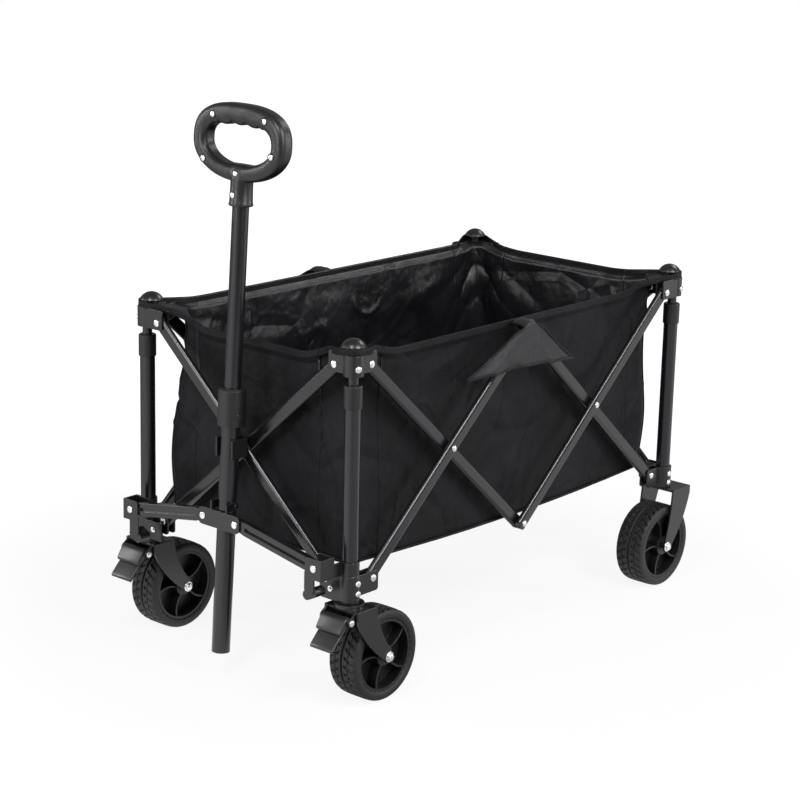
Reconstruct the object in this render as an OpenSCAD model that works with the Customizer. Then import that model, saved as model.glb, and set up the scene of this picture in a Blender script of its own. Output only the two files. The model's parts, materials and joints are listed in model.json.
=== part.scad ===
// Folding wagon with a fabric bag, four double-scissor sides and a telescoping pull handle.
// Millimetres. +X points to the handle end, +Y to the left side, +Z up; z = 0 is the ground.

/* [Frame] */
// Distance between the front and rear post axes
post_span = 840; // [700:10:1010]
// Height from the lower to the upper scissor pivots
scissor_rise = 340; // [280:5:410]
// Distance from a post axis to the scissor pivots beside it
pivot_inset = 38; // [36:1:46]
// Height of the lower scissor pivots above the ground
low_pivot_z = 206; // [203:1:250]
// Outer diameter of the lower post tubes
post_d = 25; // [20:0.5:26]
// Outer diameter of the upper post tubes
inner_post_d = 16; // [13:0.5:20]
// Wall of every tube
tube_wall = 1.5; // [1:0.1:2]
// Height of a flat-oval scissor bar
bar_h = 22; // [18:0.5:26]
// Thickness of a flat-oval scissor bar
bar_t = 11; // [9:0.5:13]
// Sheet thickness of the pressed brackets
plate_t = 2.5; // [2:0.1:3]
// Height of the corner brackets
bracket_h = 33; // [28:1:40]
// Diameter of the pivot rivets
rivet_d = 6; // [5:0.5:8]

/* [Wheels] */
// Wheel diameter
wheel_d = 150; // [125:1:152]
// Tread width
tyre_w = 56; // [46:1:66]
// Depth of the tyre from tread to rim
tyre_depth = 16; // [12:0.5:18]
// Axle diameter
axle_d = 10; // [8:0.5:12]
// Distance that a front wheel trails behind its swivel axis
front_trail = 58; // [50:1:70]
// Distance that a rear wheel sits ahead of its post axis
rear_lead = 22; // [16:1:26]
// Top of the front caster plate above the ground
front_plate_z = 167; // [164:1:170]
// Top of the rear fork plate above the ground
rear_plate_z = 179; // [174:1:180]

/* [Handle] */
// Outer diameter of the lower handle tube
handle_d = 30; // [25:0.5:32]
// Height of the lower end of the handle above the ground
handle_bottom_z = 43; // [25:1:70]
// Top of the lower handle tube above the ground
handle_top_z = 461; // [430:1:490]
// Centre of the grip opening above the ground
grip_z = 862; // [800:1:950]
// Overall width of the grip
grip_w = 190; // [170:1:215]
// Overall height of the grip ring
grip_h = 121; // [112:1:130]
// Angle that the handle leans back in its clip
handle_lean = 3.2; // [0:0.2:4]
// Length of upper handle tube left inside the lower one when pulled out
handle_overlap = 90; // [60:5:110]

/* [Stretcher] */
// Distance of the handle tube axis in front of the front post axes
handle_ahead = 40; // [39:0.5:48]
// Distance from a post axis sideways to the outer stretcher pivot
link_inset = 21; // [20:0.5:26]
// Half the distance between the two rivets of the handle bracket
bracket_half = 36; // [36:0.5:42]
// Height of the outer stretcher pivots above the lower scissor pivots
link_rise = 30; // [28:1:34]
// Rise of the handle bracket above the outer stretcher pivots
toggle_rise = 30; // [24:1:36]

/* [Bag] */
// Wall thickness of the fabric with its lining
bag_wall = 5; // [4:0.5:8]
// Height of the underside of the bag above the ground
bag_bottom_z = 216; // [210:1:250]
// Distance that the end walls lean in towards the bottom
bag_lean = 15; // [8:1:30]
// Radius of the lower edges of the bag
bag_round = 25; // [15:1:40]

/* [Hidden] */

// Clearances
run_fit = 0.05;
seat_gap = 0.02;
slide_gap = 0.3;
face_gap = 0.5;
overlap = 0.4;

// Frame geometry: every scissor bar has the same length between its end pivots
post_x = post_span / 2;
half_run = post_x - pivot_inset;
post_y = (half_run + 2 * pivot_inset) / 2;
bar_len = sqrt(half_run * half_run + scissor_rise * scissor_rise);
bar_angle = atan2(scissor_rise, half_run);
top_pivot_z = low_pivot_z + scissor_rise;
mid_pivot_z = low_pivot_z + scissor_rise / 2;
layer_gap = 1;
layer = (bar_t + layer_gap) / 2;
bar_end_r = bar_h / 2;
rivet_r = rivet_d / 2;
rivet_head_r = rivet_r + 2;
rivet_head_h = 2;
ear_gap = bar_t / 2 + face_gap;
ear_out = layer + ear_gap + plate_t;
ear_reach = pivot_inset + 12;
ear_round = 5;
bracket_r = max(ear_out + 1.5, post_d / 2 + plate_t + 1);
bracket_shift = 5;
bracket_top_z = top_pivot_z + bracket_shift + bracket_h / 2;
low_bracket_top_z = low_pivot_z - bracket_shift + bracket_h / 2;

// Posts
post_r = post_d / 2;
inner_post_r = inner_post_d / 2;
post_base_z = low_pivot_z - 4;
sleeve_h = 36;
sleeve_top_z = top_pivot_z - 26;
sleeve_base_z = sleeve_top_z - sleeve_h;
sleeve_cap = 5;
sleeve_wall = 2;
post_top_z = sleeve_top_z - sleeve_cap;
inner_post_base_z = low_pivot_z + 60;
cap_r = 19.5;
cap_rise = 12.5;
cap_inset = 5;
cap_base_z = bracket_top_z + 11;

// Wheels and forks
wheel_r = wheel_d / 2;
rim_r = wheel_r - tyre_depth;
hub_r = 17;
axle_r = axle_d / 2;
fork_inner = tyre_w / 2 + 3.5;
fork_t = 3.5;
fork_outer = fork_inner + fork_t;
fork_plate_t = 4;
kingpin_r = 6;
kingpin_top_z = post_base_z - 2;
raceway_r = 24;
raceway_h = 6;
fork_leg_r = 10;
front_plate_front = 18.5;
front_plate_rear = 27;
rear_plate_front = 12;
rear_plate_rear = 41;
spokes = 5;

// Brake pedal
pedal_x = 27;
pedal_z = front_plate_z - 15;
pedal_w = 54;
pedal_pin_r = 3;
pedal_gap = 0.5;
pedal_lug_t = 3;

// Stretcher and handle bracket
link_z = low_pivot_z + link_rise;
bracket_z = link_z + toggle_rise;
link_run = post_y - link_inset - bracket_half;
link_len = sqrt(link_run * link_run + toggle_rise * toggle_rise);
link_angle = atan2(toggle_rise, link_run);
handle_r = handle_d / 2;
tilt_rise = 22;
bracket_plate_h = 29;
plate_in = handle_ahead + handle_r / cos(handle_lean) + (tilt_rise + bracket_plate_h / 2) * tan(handle_lean)
    + face_gap;
plate_out = plate_in + plate_t;
link_t = 10.5;
link_h = 22;
link_end_r = 8;
link_taper = 20;
link_mid = plate_in - face_gap - link_t / 2;
channel_back = plate_in - link_t - 17;
channel_side = 5;
channel_w = 34;
channel_h = 34;
channel_floor_z = link_z - 12;
tongue_w = 20;
tongue_foot_z = low_pivot_z - 15;
cheek_in = handle_r + 0.6;
cheek_t = 3;
cheek_h = 13.5;
tilt_z = bracket_z + tilt_rise;
tilt_pin_r = 4;

// Handle
inner_handle_r = handle_r - tube_wall - slide_gap;
handle_sleeve_r = handle_r + 7;
handle_sleeve_z = handle_top_z - 43;
handle_sleeve_h = 60;
handle_sleeve_lip = handle_sleeve_z + handle_sleeve_h - handle_top_z;
inner_handle_base_z = handle_top_z - handle_overlap;
grip_neck_r = 18;
grip_neck_base_z = grip_z - 97;
inner_handle_top_z = grip_neck_base_z + 34;
grip_side = 30;
grip_top = 26;
grip_low = 26;
grip_thick = 34;
handle_x = post_x + handle_ahead;
button_angle = 75;
button_r = 5;
button_z = handle_sleeve_z + 17;
button_travel = 3;
clip_below = 10;
clip_above = 21;
clip_side = handle_r + face_gap;
clip_t = 3.5;
clip_reach = 8;
clip_rear = handle_ahead - (mid_pivot_z + clip_above - tilt_z) * tan(handle_lean)
    - handle_r / cos(handle_lean) - face_gap;

// Bag
bag_clear = 0.3;
bag_half_x = post_x - ear_out - rivet_head_h - bag_clear;
bag_half_y = post_y - ear_out - rivet_head_h - bag_clear;
bag_top_z = cap_base_z - 3;

frame_black = [0.10, 0.10, 0.11];
plastic_black = [0.07, 0.07, 0.075];
rubber_black = [0.05, 0.05, 0.05];
fabric_black = [0.09, 0.09, 0.10];
silver = [0.8, 0.8, 0.8];

// ---- shared shapes ----

// Places children made for the front left corner at any corner; fore and side are 1 or -1
module at_corner(fore, side) {
    translate([fore * post_x, side * post_y, 0])
        mirror([fore < 0 ? 1 : 0, 0, 0])
        mirror([0, side < 0 ? 1 : 0, 0])
        children();
}

module tube(outer, inner, z0, z1) {
    translate([0, 0, z0]) difference() {
        cylinder(h = z1 - z0, r = outer, $fn = 48);
        translate([0, 0, -1]) cylinder(h = z1 - z0 + 2, r = inner, $fn = 48);
    }
}

module rounded_rect(w, h, r) {
    square([w - 2 * r, h], center = true);
    square([w, h - 2 * r], center = true);
    for (x = [-1, 1], y = [-1, 1])
        translate([x * (w / 2 - r), y * (h / 2 - r)]) circle(r, $fn = 32);
}

// Section of a flat-oval tube
module flat_oval(h, t) {
    square([h - t, t], center = true);
    for (x = [-1, 1]) translate([x * (h - t) / 2, 0]) circle(t / 2, $fn = 32);
}

module slot_shape(len, r) {
    translate([0, -r]) square([len, 2 * r]);
    circle(r, $fn = 48);
    translate([len, 0]) circle(r, $fn = 48);
}

// Headed rivet along Z from z0 to z1, with its heads outside that length
module rivet(z0, z1, r = rivet_r) {
    translate([0, 0, z0]) cylinder(h = z1 - z0, r = r, $fn = 32);
    translate([0, 0, z1]) cylinder(h = rivet_head_h, r1 = r + 2, r2 = r + 0.8, $fn = 32);
    translate([0, 0, z0 - rivet_head_h]) cylinder(h = rivet_head_h, r1 = r + 0.8, r2 = r + 2, $fn = 32);
}

// Scissor bar along X, a tube with plugged ends and three pivot bores, its thickness along Z
module bar() {
    plug = bar_end_r;
    difference() {
        intersection() {
            translate([-bar_end_r, 0, 0]) rotate([90, 0, 90])
                linear_extrude(bar_len + 2 * bar_end_r) flat_oval(bar_h, bar_t);
            linear_extrude(bar_t + 2, center = true) slot_shape(bar_len, bar_end_r);
        }
        translate([plug, 0, 0]) rotate([90, 0, 90])
            linear_extrude(bar_len - 2 * plug) flat_oval(bar_h - 2 * tube_wall, bar_t - 2 * tube_wall);
        for (k = [0, 1 / 2, 1])
            translate([k * bar_len, 0, -bar_t]) cylinder(h = 2 * bar_t, r = rivet_r + run_fit, $fn = 32);
    }
}

// Puts a part made along X, thickness along Z, into a side plane (XZ) at angle a
module in_side(x, y, z, a) {
    translate([x, y, z]) rotate([0, -a, 0]) rotate([90, 0, 0]) children();
}

// Puts a part made along X, thickness along Z, into an end plane (YZ) at angle a
module in_end(x, y, z, a) {
    translate([x, y, z]) rotate([a, 0, 0]) rotate([90, 0, 90]) children();
}

// ---- corner posts ----

module outer_post(fore, side) {
    color(frame_black) at_corner(fore, side)
        tube(post_r, post_r - tube_wall, post_base_z, post_top_z);
}

// Moulded sleeve on top of a lower post tube, which guides the upper tube
module post_sleeve(fore, side) {
    color(plastic_black) at_corner(fore, side) translate([0, 0, sleeve_base_z]) difference() {
        union() {
            cylinder(h = sleeve_h - 1.5, r = post_r + sleeve_wall, $fn = 48);
            translate([0, 0, sleeve_h - 1.5])
                cylinder(h = 1.5, r1 = post_r + sleeve_wall, r2 = post_r + sleeve_wall - 1.5, $fn = 48);
        }
        translate([0, 0, -1]) cylinder(h = sleeve_h - sleeve_cap + 1, r = post_r + seat_gap, $fn = 48);
        translate([0, 0, -1]) cylinder(h = sleeve_h + 2, r = inner_post_r + slide_gap, $fn = 48);
    }
}

module inner_post(fore, side) {
    color(frame_black) at_corner(fore, side)
        tube(inner_post_r, inner_post_r - tube_wall, inner_post_base_z, bracket_top_z - 4);
}

// Pair of ears round the end of a bar in layer lay, 1 outer or -1 inner, of the front plane
module ear_pair(lay, lift) {
    for (u = [lay * layer - ear_gap - plate_t, lay * layer + ear_gap])
        translate([u, 0, 0]) rotate([90, 0, 90]) linear_extrude(plate_t) difference() {
            union() {
                translate([-ear_reach / 2, lift]) rounded_rect(ear_reach, bracket_h, ear_round);
                translate([-ear_reach / 2, lift - bracket_h / 2]) square([ear_reach / 2 - 3, bracket_h]);
            }
            translate([-pivot_inset, 0]) circle(rivet_r + seat_gap, $fn = 32);
        }
}

// Mirrors a part of the front plane into the side plane
module to_side() {
    mirror([1, -1, 0]) children();
}

// Bracket body round a post, with its two pairs of ears; z = 0 is the pivot height
module bracket_body(bore_r, end_lay, side_lay, lift) {
    difference() {
        union() {
            ear_pair(end_lay, lift);
            to_side() ear_pair(side_lay, lift);
            translate([0, 0, lift - bracket_h / 2]) cylinder(h = bracket_h, r = bracket_r, $fn = 48);
        }
        translate([0, 0, -2 * bracket_h]) cylinder(h = 4 * bracket_h, r = bore_r, $fn = 48);
    }
}

// Rivet through a pair of ears
module ear_rivet(lay) {
    translate([lay * layer, -pivot_inset, 0]) rotate([0, 90, 0])
        rivet(-ear_gap - plate_t, ear_gap + plate_t);
}

// Upper bracket with its rivets and moulded cap.
// end_lay and side_lay say which layer, 1 outer or -1 inner, the bars of each plane lie in.
module top_bracket(fore, side, end_lay, side_lay) {
    at_corner(fore, side) translate([0, 0, top_pivot_z]) {
        color(frame_black) bracket_body(inner_post_r + seat_gap, end_lay, side_lay, bracket_shift);
        color(silver) ear_rivet(end_lay);
        color(silver) to_side() ear_rivet(side_lay);
        color(plastic_black) translate([-cap_inset, -cap_inset, 0]) {
            translate([0, 0, bracket_top_z - top_pivot_z - 3])
                cylinder(h = cap_base_z - bracket_top_z + 4, r = 8, $fn = 32);
            translate([0, 0, cap_base_z - top_pivot_z]) intersection() {
                translate([0, 0, cap_rise - dome_r(cap_r, cap_rise)])
                    sphere(dome_r(cap_r, cap_rise), $fn = 64);
                cylinder(h = cap_rise + 1, r = cap_r, $fn = 64);
            }
        }
    }
}

function dome_r(r, h) = (r * r + h * h) / (2 * h);

// Lower bracket with its kingpin boss; plate_z is the top of the fork plate below it
module lower_bracket(fore, side, end_lay, side_lay, plate_z) {
    boss_z = plate_z + (fore > 0 ? raceway_h : 0) + face_gap;
    at_corner(fore, side) {
        color(silver) translate([0, 0, low_pivot_z]) {
            ear_rivet(end_lay);
            to_side() ear_rivet(side_lay);
        }
        color(frame_black) difference() {
            union() {
                translate([0, 0, low_pivot_z])
                    bracket_body(post_r + seat_gap, end_lay, side_lay, -bracket_shift);
                translate([0, 0, boss_z]) cylinder(h = low_pivot_z - boss_z, r = bracket_r, $fn = 48);
                if (fore > 0) {
                    channel();
                    translate([layer + ear_gap, -ear_reach + 4, boss_z])
                        cube([plate_t, ear_reach - 8, low_pivot_z - boss_z]);
                }
            }
            translate([0, 0, post_base_z]) cylinder(h = 3 * bracket_h, r = post_r + seat_gap, $fn = 48);
            translate([0, 0, plate_z]) cylinder(h = bracket_h, r = kingpin_r + run_fit, $fn = 48);
        }
        if (fore > 0) color(silver) translate([0, -link_inset, link_z]) rotate([0, 90, 0])
            rivet(channel_back, plate_out);
    }
}

// U-shaped channel in front of a front post, which holds the outer end of a stretcher link
module channel() {
    mid_v = -channel_side - channel_w / 2;
    tongue_v = mid_v + 2 - tongue_w / 2;
    for (u = [channel_back, plate_in])
        translate([u, 0, 0]) rotate([90, 0, 90]) linear_extrude(plate_t) difference() {
            union() {
                translate([mid_v, channel_floor_z + channel_h / 2 - 6]) rounded_rect(channel_w, channel_h, 6);
                translate([mid_v, channel_floor_z - 6]) square([channel_w / 2, channel_h]);
                if (u == plate_in) {
                    translate([tongue_v, tongue_foot_z + tongue_w / 2]) circle(tongue_w / 2, $fn = 48);
                    translate([tongue_v - tongue_w / 2, tongue_foot_z + tongue_w / 2])
                        square([tongue_w, channel_floor_z - tongue_foot_z - 6]);
                }
            }
            translate([-link_inset, link_z]) circle(rivet_r + seat_gap, $fn = 32);
        }
    // Web of the channel, and the collar round the post that carries it
    translate([channel_back, -channel_side - plate_t, channel_floor_z - 6])
        cube([plate_out - channel_back, plate_t, channel_h]);
    translate([0, -channel_side - plate_t, channel_floor_z - 6])
        cube([channel_back + overlap, plate_t, 22]);
    translate([0, 0, low_bracket_top_z - overlap])
        cylinder(h = channel_floor_z + 16 - low_bracket_top_z + overlap, r = bracket_r - 1, $fn = 48);
    // Rounded stop behind the tongue
    translate([channel_back + 6, mid_v - 3, tongue_foot_z + 4]) rotate([90, 0, 90])
        linear_extrude(plate_in - channel_back - 6 + overlap) rotate(206) slot_shape(13, 8);
}

// ---- scissor bars ----

// Side bars; side is 1 left or -1 right, fore is 1 for the front pair.
// "up" bars rise towards the middle of the side and lie outside; "down" bars fall towards it.
module side_bar(side, fore, up) {
    y = side * (post_y + (outer_layer(fore, up) ? layer : -layer));
    rising = fore > 0 ? !up : up;
    x0 = fore > 0 ? (up ? half_run : 0) : (up ? -half_run : 0);
    a = rising ? bar_angle : 180 - bar_angle;
    color(frame_black) in_side(x0, y, low_pivot_z, a) bar();
    // Pivot rivets at the crossing, and at the middle of the side where two bars meet
    color(silver) {
        if (outer_layer(fore, up)) {
            side_rivet(side, fore * half_run / 2, mid_pivot_z);
            side_rivet(side, 0, up ? top_pivot_z : low_pivot_z);
        }
    }
}

// The front bar that rises to the middle and the rear bar that falls to it lie outside
function outer_layer(fore, up) = fore > 0 ? up : !up;

module side_rivet(side, x, z) {
    translate([x, side * post_y, z]) rotate([90, 0, 0])
        rivet(-bar_t - layer_gap / 2 - slide_gap, bar_t + layer_gap / 2 + slide_gap);
}

// End bars; foot is the side, 1 left or -1 right, at which the bar's lower end sits
module end_bar(fore, foot, with_rivet) {
    lay = foot > 0 ? layer : -layer;
    a = foot > 0 ? 180 - bar_angle : bar_angle;
    color(frame_black) in_end(fore * (post_x + lay), foot * half_run / 2, low_pivot_z, a) bar();
    if (with_rivet) color(silver) translate([fore * post_x, 0, mid_pivot_z]) rotate([0, 90, 0])
        rivet(-bar_t - layer_gap / 2 - slide_gap, bar_t + layer_gap / 2 + slide_gap);
}

// ---- wheels ----

// Side outline of a fork: a plate above and a curved leg down to the axle.
// front and rear are the plate's ends; ax is the axle's place along X; all from the post axis.
function curve(a, b, c, n) = [for (i = [0 : n]) let (t = i / n)
    (1 - t) * (1 - t) * a + 2 * t * (1 - t) * b + t * t * c];

module leg_shape(front, rear, ax, plate_z) {
    drop = plate_z - wheel_r;
    back = ax < 0 ? rear : front;
    lead = ax < 0 ? front : rear;
    side = ax < 0 ? -1 : 1;
    polygon(concat(
        [[lead, plate_z], [back, plate_z]],
        curve([back, plate_z - fork_plate_t], [back + side * 3, plate_z - drop * 0.45],
            [ax + side * fork_leg_r * 0.9, wheel_r + fork_leg_r * 0.4], 12),
        curve([ax - side * fork_leg_r * 0.9, wheel_r - fork_leg_r * 0.4],
            [lead + side * 14, plate_z - drop * 0.62], [lead, plate_z - 13], 12)
    ));
    translate([ax, wheel_r]) circle(fork_leg_r, $fn = 48);
}

// Fork with its legs, plate, kingpin and axle; front, rear and ax are places along X from the post axis
module fork(fore, side, front, rear, ax, plate_z) {
    pin_base = plate_z - overlap;
    translate([fore * post_x, side * post_y, 0]) {
        color(frame_black) difference() {
            union() {
                for (s = [-1, 1]) translate([0, s > 0 ? fork_outer : -fork_inner, 0])
                    rotate([90, 0, 0]) linear_extrude(fork_t) leg_shape(front, rear, ax, plate_z);
                translate([rear, -fork_inner - overlap, plate_z - fork_plate_t])
                    cube([front - rear, 2 * (fork_inner + overlap), fork_plate_t]);
                translate([0, 0, pin_base]) cylinder(h = kingpin_top_z - pin_base, r = kingpin_r, $fn = 48);
                if (fore > 0) {
                    translate([0, 0, pin_base]) cylinder(h = raceway_h + overlap, r = raceway_r, $fn = 64);
                    pedal_lugs(front, plate_z);
                }
            }
            translate([ax, 0, wheel_r]) rotate([90, 0, 0])
                cylinder(h = 3 * fork_outer, r = axle_r + seat_gap, center = true, $fn = 48);
        }
        color(silver) translate([ax, 0, wheel_r]) rotate([90, 0, 0]) {
            cylinder(h = 2 * fork_outer, r = axle_r, center = true, $fn = 48);
            for (s = [0, 1]) mirror([0, 0, s]) translate([0, 0, fork_outer])
                cylinder(h = 3, r1 = axle_r + 2, r2 = axle_r + 0.5, $fn = 32);
        }
        if (fore > 0) color(silver) translate([pedal_x, 0, pedal_z]) rotate([90, 0, 0])
            rivet(-pedal_w / 2 - pedal_lug_t - pedal_gap, pedal_w / 2 + pedal_lug_t + pedal_gap, pedal_pin_r);
    }
}

module front_fork(side) {
    fork(1, side, front_plate_front, -front_plate_rear, -front_trail, front_plate_z);
}

module rear_fork(side) {
    fork(-1, side, rear_plate_front, -rear_plate_rear, rear_lead, rear_plate_z);
}

// Two lugs below the front of a caster plate, which hold the pedal's pin
module pedal_lugs(front, plate_z) {
    for (s = [-1, 1])
        translate([0, s > 0 ? pedal_w / 2 + pedal_gap + pedal_lug_t : -pedal_w / 2 - pedal_gap, 0])
            rotate([90, 0, 0]) linear_extrude(pedal_lug_t) difference() {
                union() {
                    polygon([[front - 14, plate_z - overlap], [front, plate_z - overlap],
                        [pedal_x + 6, pedal_z + 4], [pedal_x + 6, pedal_z - 4],
                        [pedal_x - 3, pedal_z - 6], [front - 14, pedal_z]]);
                    translate([pedal_x, pedal_z]) circle(7, $fn = 32);
                }
                translate([pedal_x, pedal_z]) circle(pedal_pin_r + seat_gap, $fn = 32);
            }
}

// Two-step foot pedal that turns on a cross pin in front of the caster plate
module brake_pedal(side) {
    color(frame_black) translate([post_x + pedal_x, side * post_y, pedal_z]) rotate([90, 0, 0])
        difference() {
            union() {
                cylinder(h = pedal_w, r = 6.5, center = true, $fn = 32);
                linear_extrude(pedal_w - 2, center = true)
                    polygon([[-3, 5.5], [3, 8], [8, 5], [20, -11], [20, -16], [16, -18], [4, -6]]);
                linear_extrude(pedal_w - 8, center = true)
                    polygon([[-3, -5], [4, -8], [16, -17], [34, -40],
                        [33, -45], [28, -46], [13, -30], [2, -24]]);
            }
            cylinder(h = pedal_w + 2, r = pedal_pin_r + run_fit, center = true, $fn = 32);
        }
}

module tyre(fore, side, ax) {
    groove = 2.2;
    color(rubber_black) translate([fore * post_x + ax, side * post_y, wheel_r]) rotate([90, 0, 0])
        rotate_extrude($fn = 96) polygon(concat(
            [[rim_r + seat_gap, -tyre_w / 2 + 2], [rim_r + 3, -tyre_w / 2]],
            [[wheel_r - 5, -tyre_w / 2], [wheel_r - 1.5, -tyre_w / 2 + 3], [wheel_r, -tyre_w / 2 + 8]],
            [for (p = [-9, 9]) each [[wheel_r, p - 2], [wheel_r - groove, p - 1],
                [wheel_r - groove, p + 1], [wheel_r, p + 2]]],
            [[wheel_r, tyre_w / 2 - 8], [wheel_r - 1.5, tyre_w / 2 - 3], [wheel_r - 5, tyre_w / 2]],
            [[rim_r + 3, tyre_w / 2], [rim_r + seat_gap, tyre_w / 2 - 2]]
        ));
}

// Hub with a dished web and curved fins on both faces
module wheel_hub(fore, side, ax) {
    color(plastic_black) translate([fore * post_x + ax, side * post_y, wheel_r]) rotate([90, 0, 0])
        difference() {
            union() {
                cylinder(h = tyre_w - 6, r = rim_r, center = true, $fn = 96);
            }
            for (s = [0, 1]) mirror([0, 0, s]) translate([0, 0, 4]) difference() {
                cylinder(h = tyre_w, r = rim_r - 4, $fn = 96);
                translate([0, 0, -1]) cylinder(h = tyre_w / 2, r = hub_r, $fn = 48);
                for (k = [0 : spokes - 1]) rotate(k * 360 / spokes) fin();
            }
            for (s = [0, 1]) mirror([0, 0, s]) translate([0, 0, tyre_w / 2 - 3])
                cylinder(h = tyre_w, r = rim_r + 1, $fn = 96);
            cylinder(h = tyre_w + 2, r = axle_r + run_fit, center = true, $fn = 48);
        }
}

// Curved fin from the hub to the rim
module fin() {
    fin_r = rim_r * 0.75;
    translate([0, 0, -1]) intersection() {
        translate([hub_r + (rim_r - hub_r) / 2 - 4, -fin_r + 4, 0]) difference() {
            cylinder(h = tyre_w / 2 - 8, r = fin_r + 1.5, $fn = 64);
            translate([0, 0, -1]) cylinder(h = tyre_w, r = fin_r - 1.5, $fn = 64);
        }
        translate([hub_r - 3, -16, 0]) cube([rim_r - hub_r + 6, 30, tyre_w]);
    }
}

// ---- stretcher and handle ----

// One half of the front stretcher; side is 1 left or -1 right
module stretcher(side) {
    color(frame_black) translate([post_x + link_mid, side * (post_y - link_inset), link_z])
        rotate([side * -link_angle, 0, 0]) mirror([0, side > 0 ? 1 : 0, 0]) rotate([90, 0, 90])
        difference() {
            linear_extrude(link_t, center = true) {
                polygon([[0, -link_end_r], [link_taper, -link_h / 2], [link_len - link_taper, -link_h / 2],
                    [link_len, -link_end_r], [link_len, link_end_r], [link_len - link_taper, link_h / 2],
                    [link_taper, link_h / 2], [0, link_end_r]]);
                for (x = [0, link_len]) translate([x, 0]) circle(link_end_r, $fn = 48);
            }
            translate([link_taper, -3, link_t / 2 - 3.5]) cube([link_len - 2 * link_taper, 6, 4]);
            translate([0, 0, -link_t]) cylinder(h = 2 * link_t, r = rivet_r + run_fit, $fn = 32);
            translate([link_len, 0, -link_t]) cylinder(h = 2 * link_t, r = rivet_r, $fn = 32);
        }
}

// Front plate that joins the stretcher halves, with two cheeks that carry the handle's pivot
module handle_bracket() {
    color(frame_black) translate([post_x, 0, bracket_z]) difference() {
        union() {
            translate([plate_in, 0, 0]) rotate([90, 0, 90]) linear_extrude(plate_t)
                rounded_rect(2 * bracket_half + 20, bracket_plate_h, 9);
            for (s = [-1, 1]) {
                translate([plate_in, s > 0 ? cheek_in : -cheek_in - cheek_t, 0])
                    cube([plate_t, cheek_t, tilt_rise + 4]);
                translate([0, s > 0 ? cheek_in + cheek_t : -cheek_in, 0]) rotate([90, 0, 0])
                    linear_extrude(cheek_t) {
                        translate([handle_ahead, tilt_rise]) circle(cheek_h / 2, $fn = 48);
                        translate([handle_ahead, tilt_rise - cheek_h / 2])
                            square([plate_out - handle_ahead, cheek_h]);
                    }
            }
        }
        translate([handle_ahead, 0, tilt_rise]) rotate([90, 0, 0])
            cylinder(h = 4 * cheek_in, r = tilt_pin_r + run_fit, center = true, $fn = 32);
    }
    color(silver) for (s = [-1, 1])
        translate([post_x + plate_out, s * bracket_half, bracket_z]) rotate([0, 90, 0])
            cylinder(h = rivet_head_h, r1 = rivet_head_r, r2 = rivet_r + 0.8, $fn = 32);
}

// Open clip on the crossing of the front bars, which holds the handle upright
module handle_clip() {
    hub_x = bar_t + layer_gap / 2 + slide_gap;
    color(plastic_black) translate([post_x, 0, mid_pivot_z]) {
        translate([clip_rear - clip_t, -clip_side - clip_t, -clip_below])
            cube([clip_t, 2 * (clip_side + clip_t), clip_below + clip_above]);
        for (s = [-1, 1])
            translate([clip_rear - clip_t, s > 0 ? clip_side : -clip_side - clip_t, -clip_below])
                cube([handle_ahead + clip_reach - clip_rear + clip_t, clip_t, clip_below + clip_above]);
        translate([hub_x, 0, 0]) rotate([0, 90, 0])
            cylinder(h = clip_rear - clip_t - hub_x + overlap, r = 8.5, $fn = 48);
    }
    color(silver) translate([post_x, 0, mid_pivot_z]) rotate([0, 90, 0]) {
        translate([0, 0, -hub_x]) cylinder(h = 2 * hub_x, r = rivet_r, $fn = 32);
        translate([0, 0, -hub_x - rivet_head_h])
            cylinder(h = rivet_head_h, r1 = rivet_r + 0.8, r2 = rivet_r + 2, $fn = 32);
    }
}

// Places a part made upright, with its axis at x = 0 and true heights, along the leaning handle
module on_handle() {
    translate([handle_x, 0, tilt_z]) rotate([0, -handle_lean, 0]) translate([0, 0, -tilt_z]) children();
}

module handle_outer_tube() {
    color(frame_black) on_handle() {
        tube(handle_r, handle_r - tube_wall, handle_bottom_z, handle_top_z);
        for (s = [-1, 1]) translate([0, s * (handle_r - tube_wall + 0.2), tilt_z]) rotate([-90 * s, 0, 0])
            cylinder(h = cheek_in + cheek_t + 2 - handle_r + tube_wall, r = tilt_pin_r, $fn = 32);
    }
}

// Moulded sleeve on top of the lower handle tube, with a seat for the release button
module handle_sleeve() {
    color(plastic_black) on_handle() translate([0, 0, handle_sleeve_z]) difference() {
        union() {
            cylinder(h = handle_sleeve_h - 3, r = handle_sleeve_r, $fn = 64);
            translate([0, 0, handle_sleeve_h - 3])
                cylinder(h = 3, r1 = handle_sleeve_r, r2 = handle_sleeve_r - 3, $fn = 64);
        }
        translate([0, 0, -1])
            cylinder(h = handle_sleeve_h - handle_sleeve_lip + 1, r = handle_r + seat_gap, $fn = 48);
        translate([0, 0, -1]) cylinder(h = handle_sleeve_h + 2, r = inner_handle_r + slide_gap, $fn = 48);
        rotate([0, 0, button_angle]) translate([0, 0, button_z - handle_sleeve_z]) rotate([0, 90, 0])
            cylinder(h = 2 * handle_sleeve_r, r = button_r + 0.2, $fn = 48);
    }
}

// Release button in the sleeve
module lock_button() {
    color(plastic_black) on_handle() translate([0, 0, button_z]) rotate([0, 0, button_angle])
        rotate([0, 90, 0]) translate([0, 0, handle_r + button_travel + 0.3]) {
            cylinder(h = handle_sleeve_r - handle_r - button_travel + 0.3, r = button_r, $fn = 48);
            translate([0, 0, handle_sleeve_r - handle_r - button_travel + 0.3])
                cylinder(h = 1, r1 = button_r, r2 = button_r - 1, $fn = 48);
        }
}

module handle_inner_tube() {
    color(frame_black) on_handle()
        tube(inner_handle_r, inner_handle_r - tube_wall, inner_handle_base_z, inner_handle_top_z);
}

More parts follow.
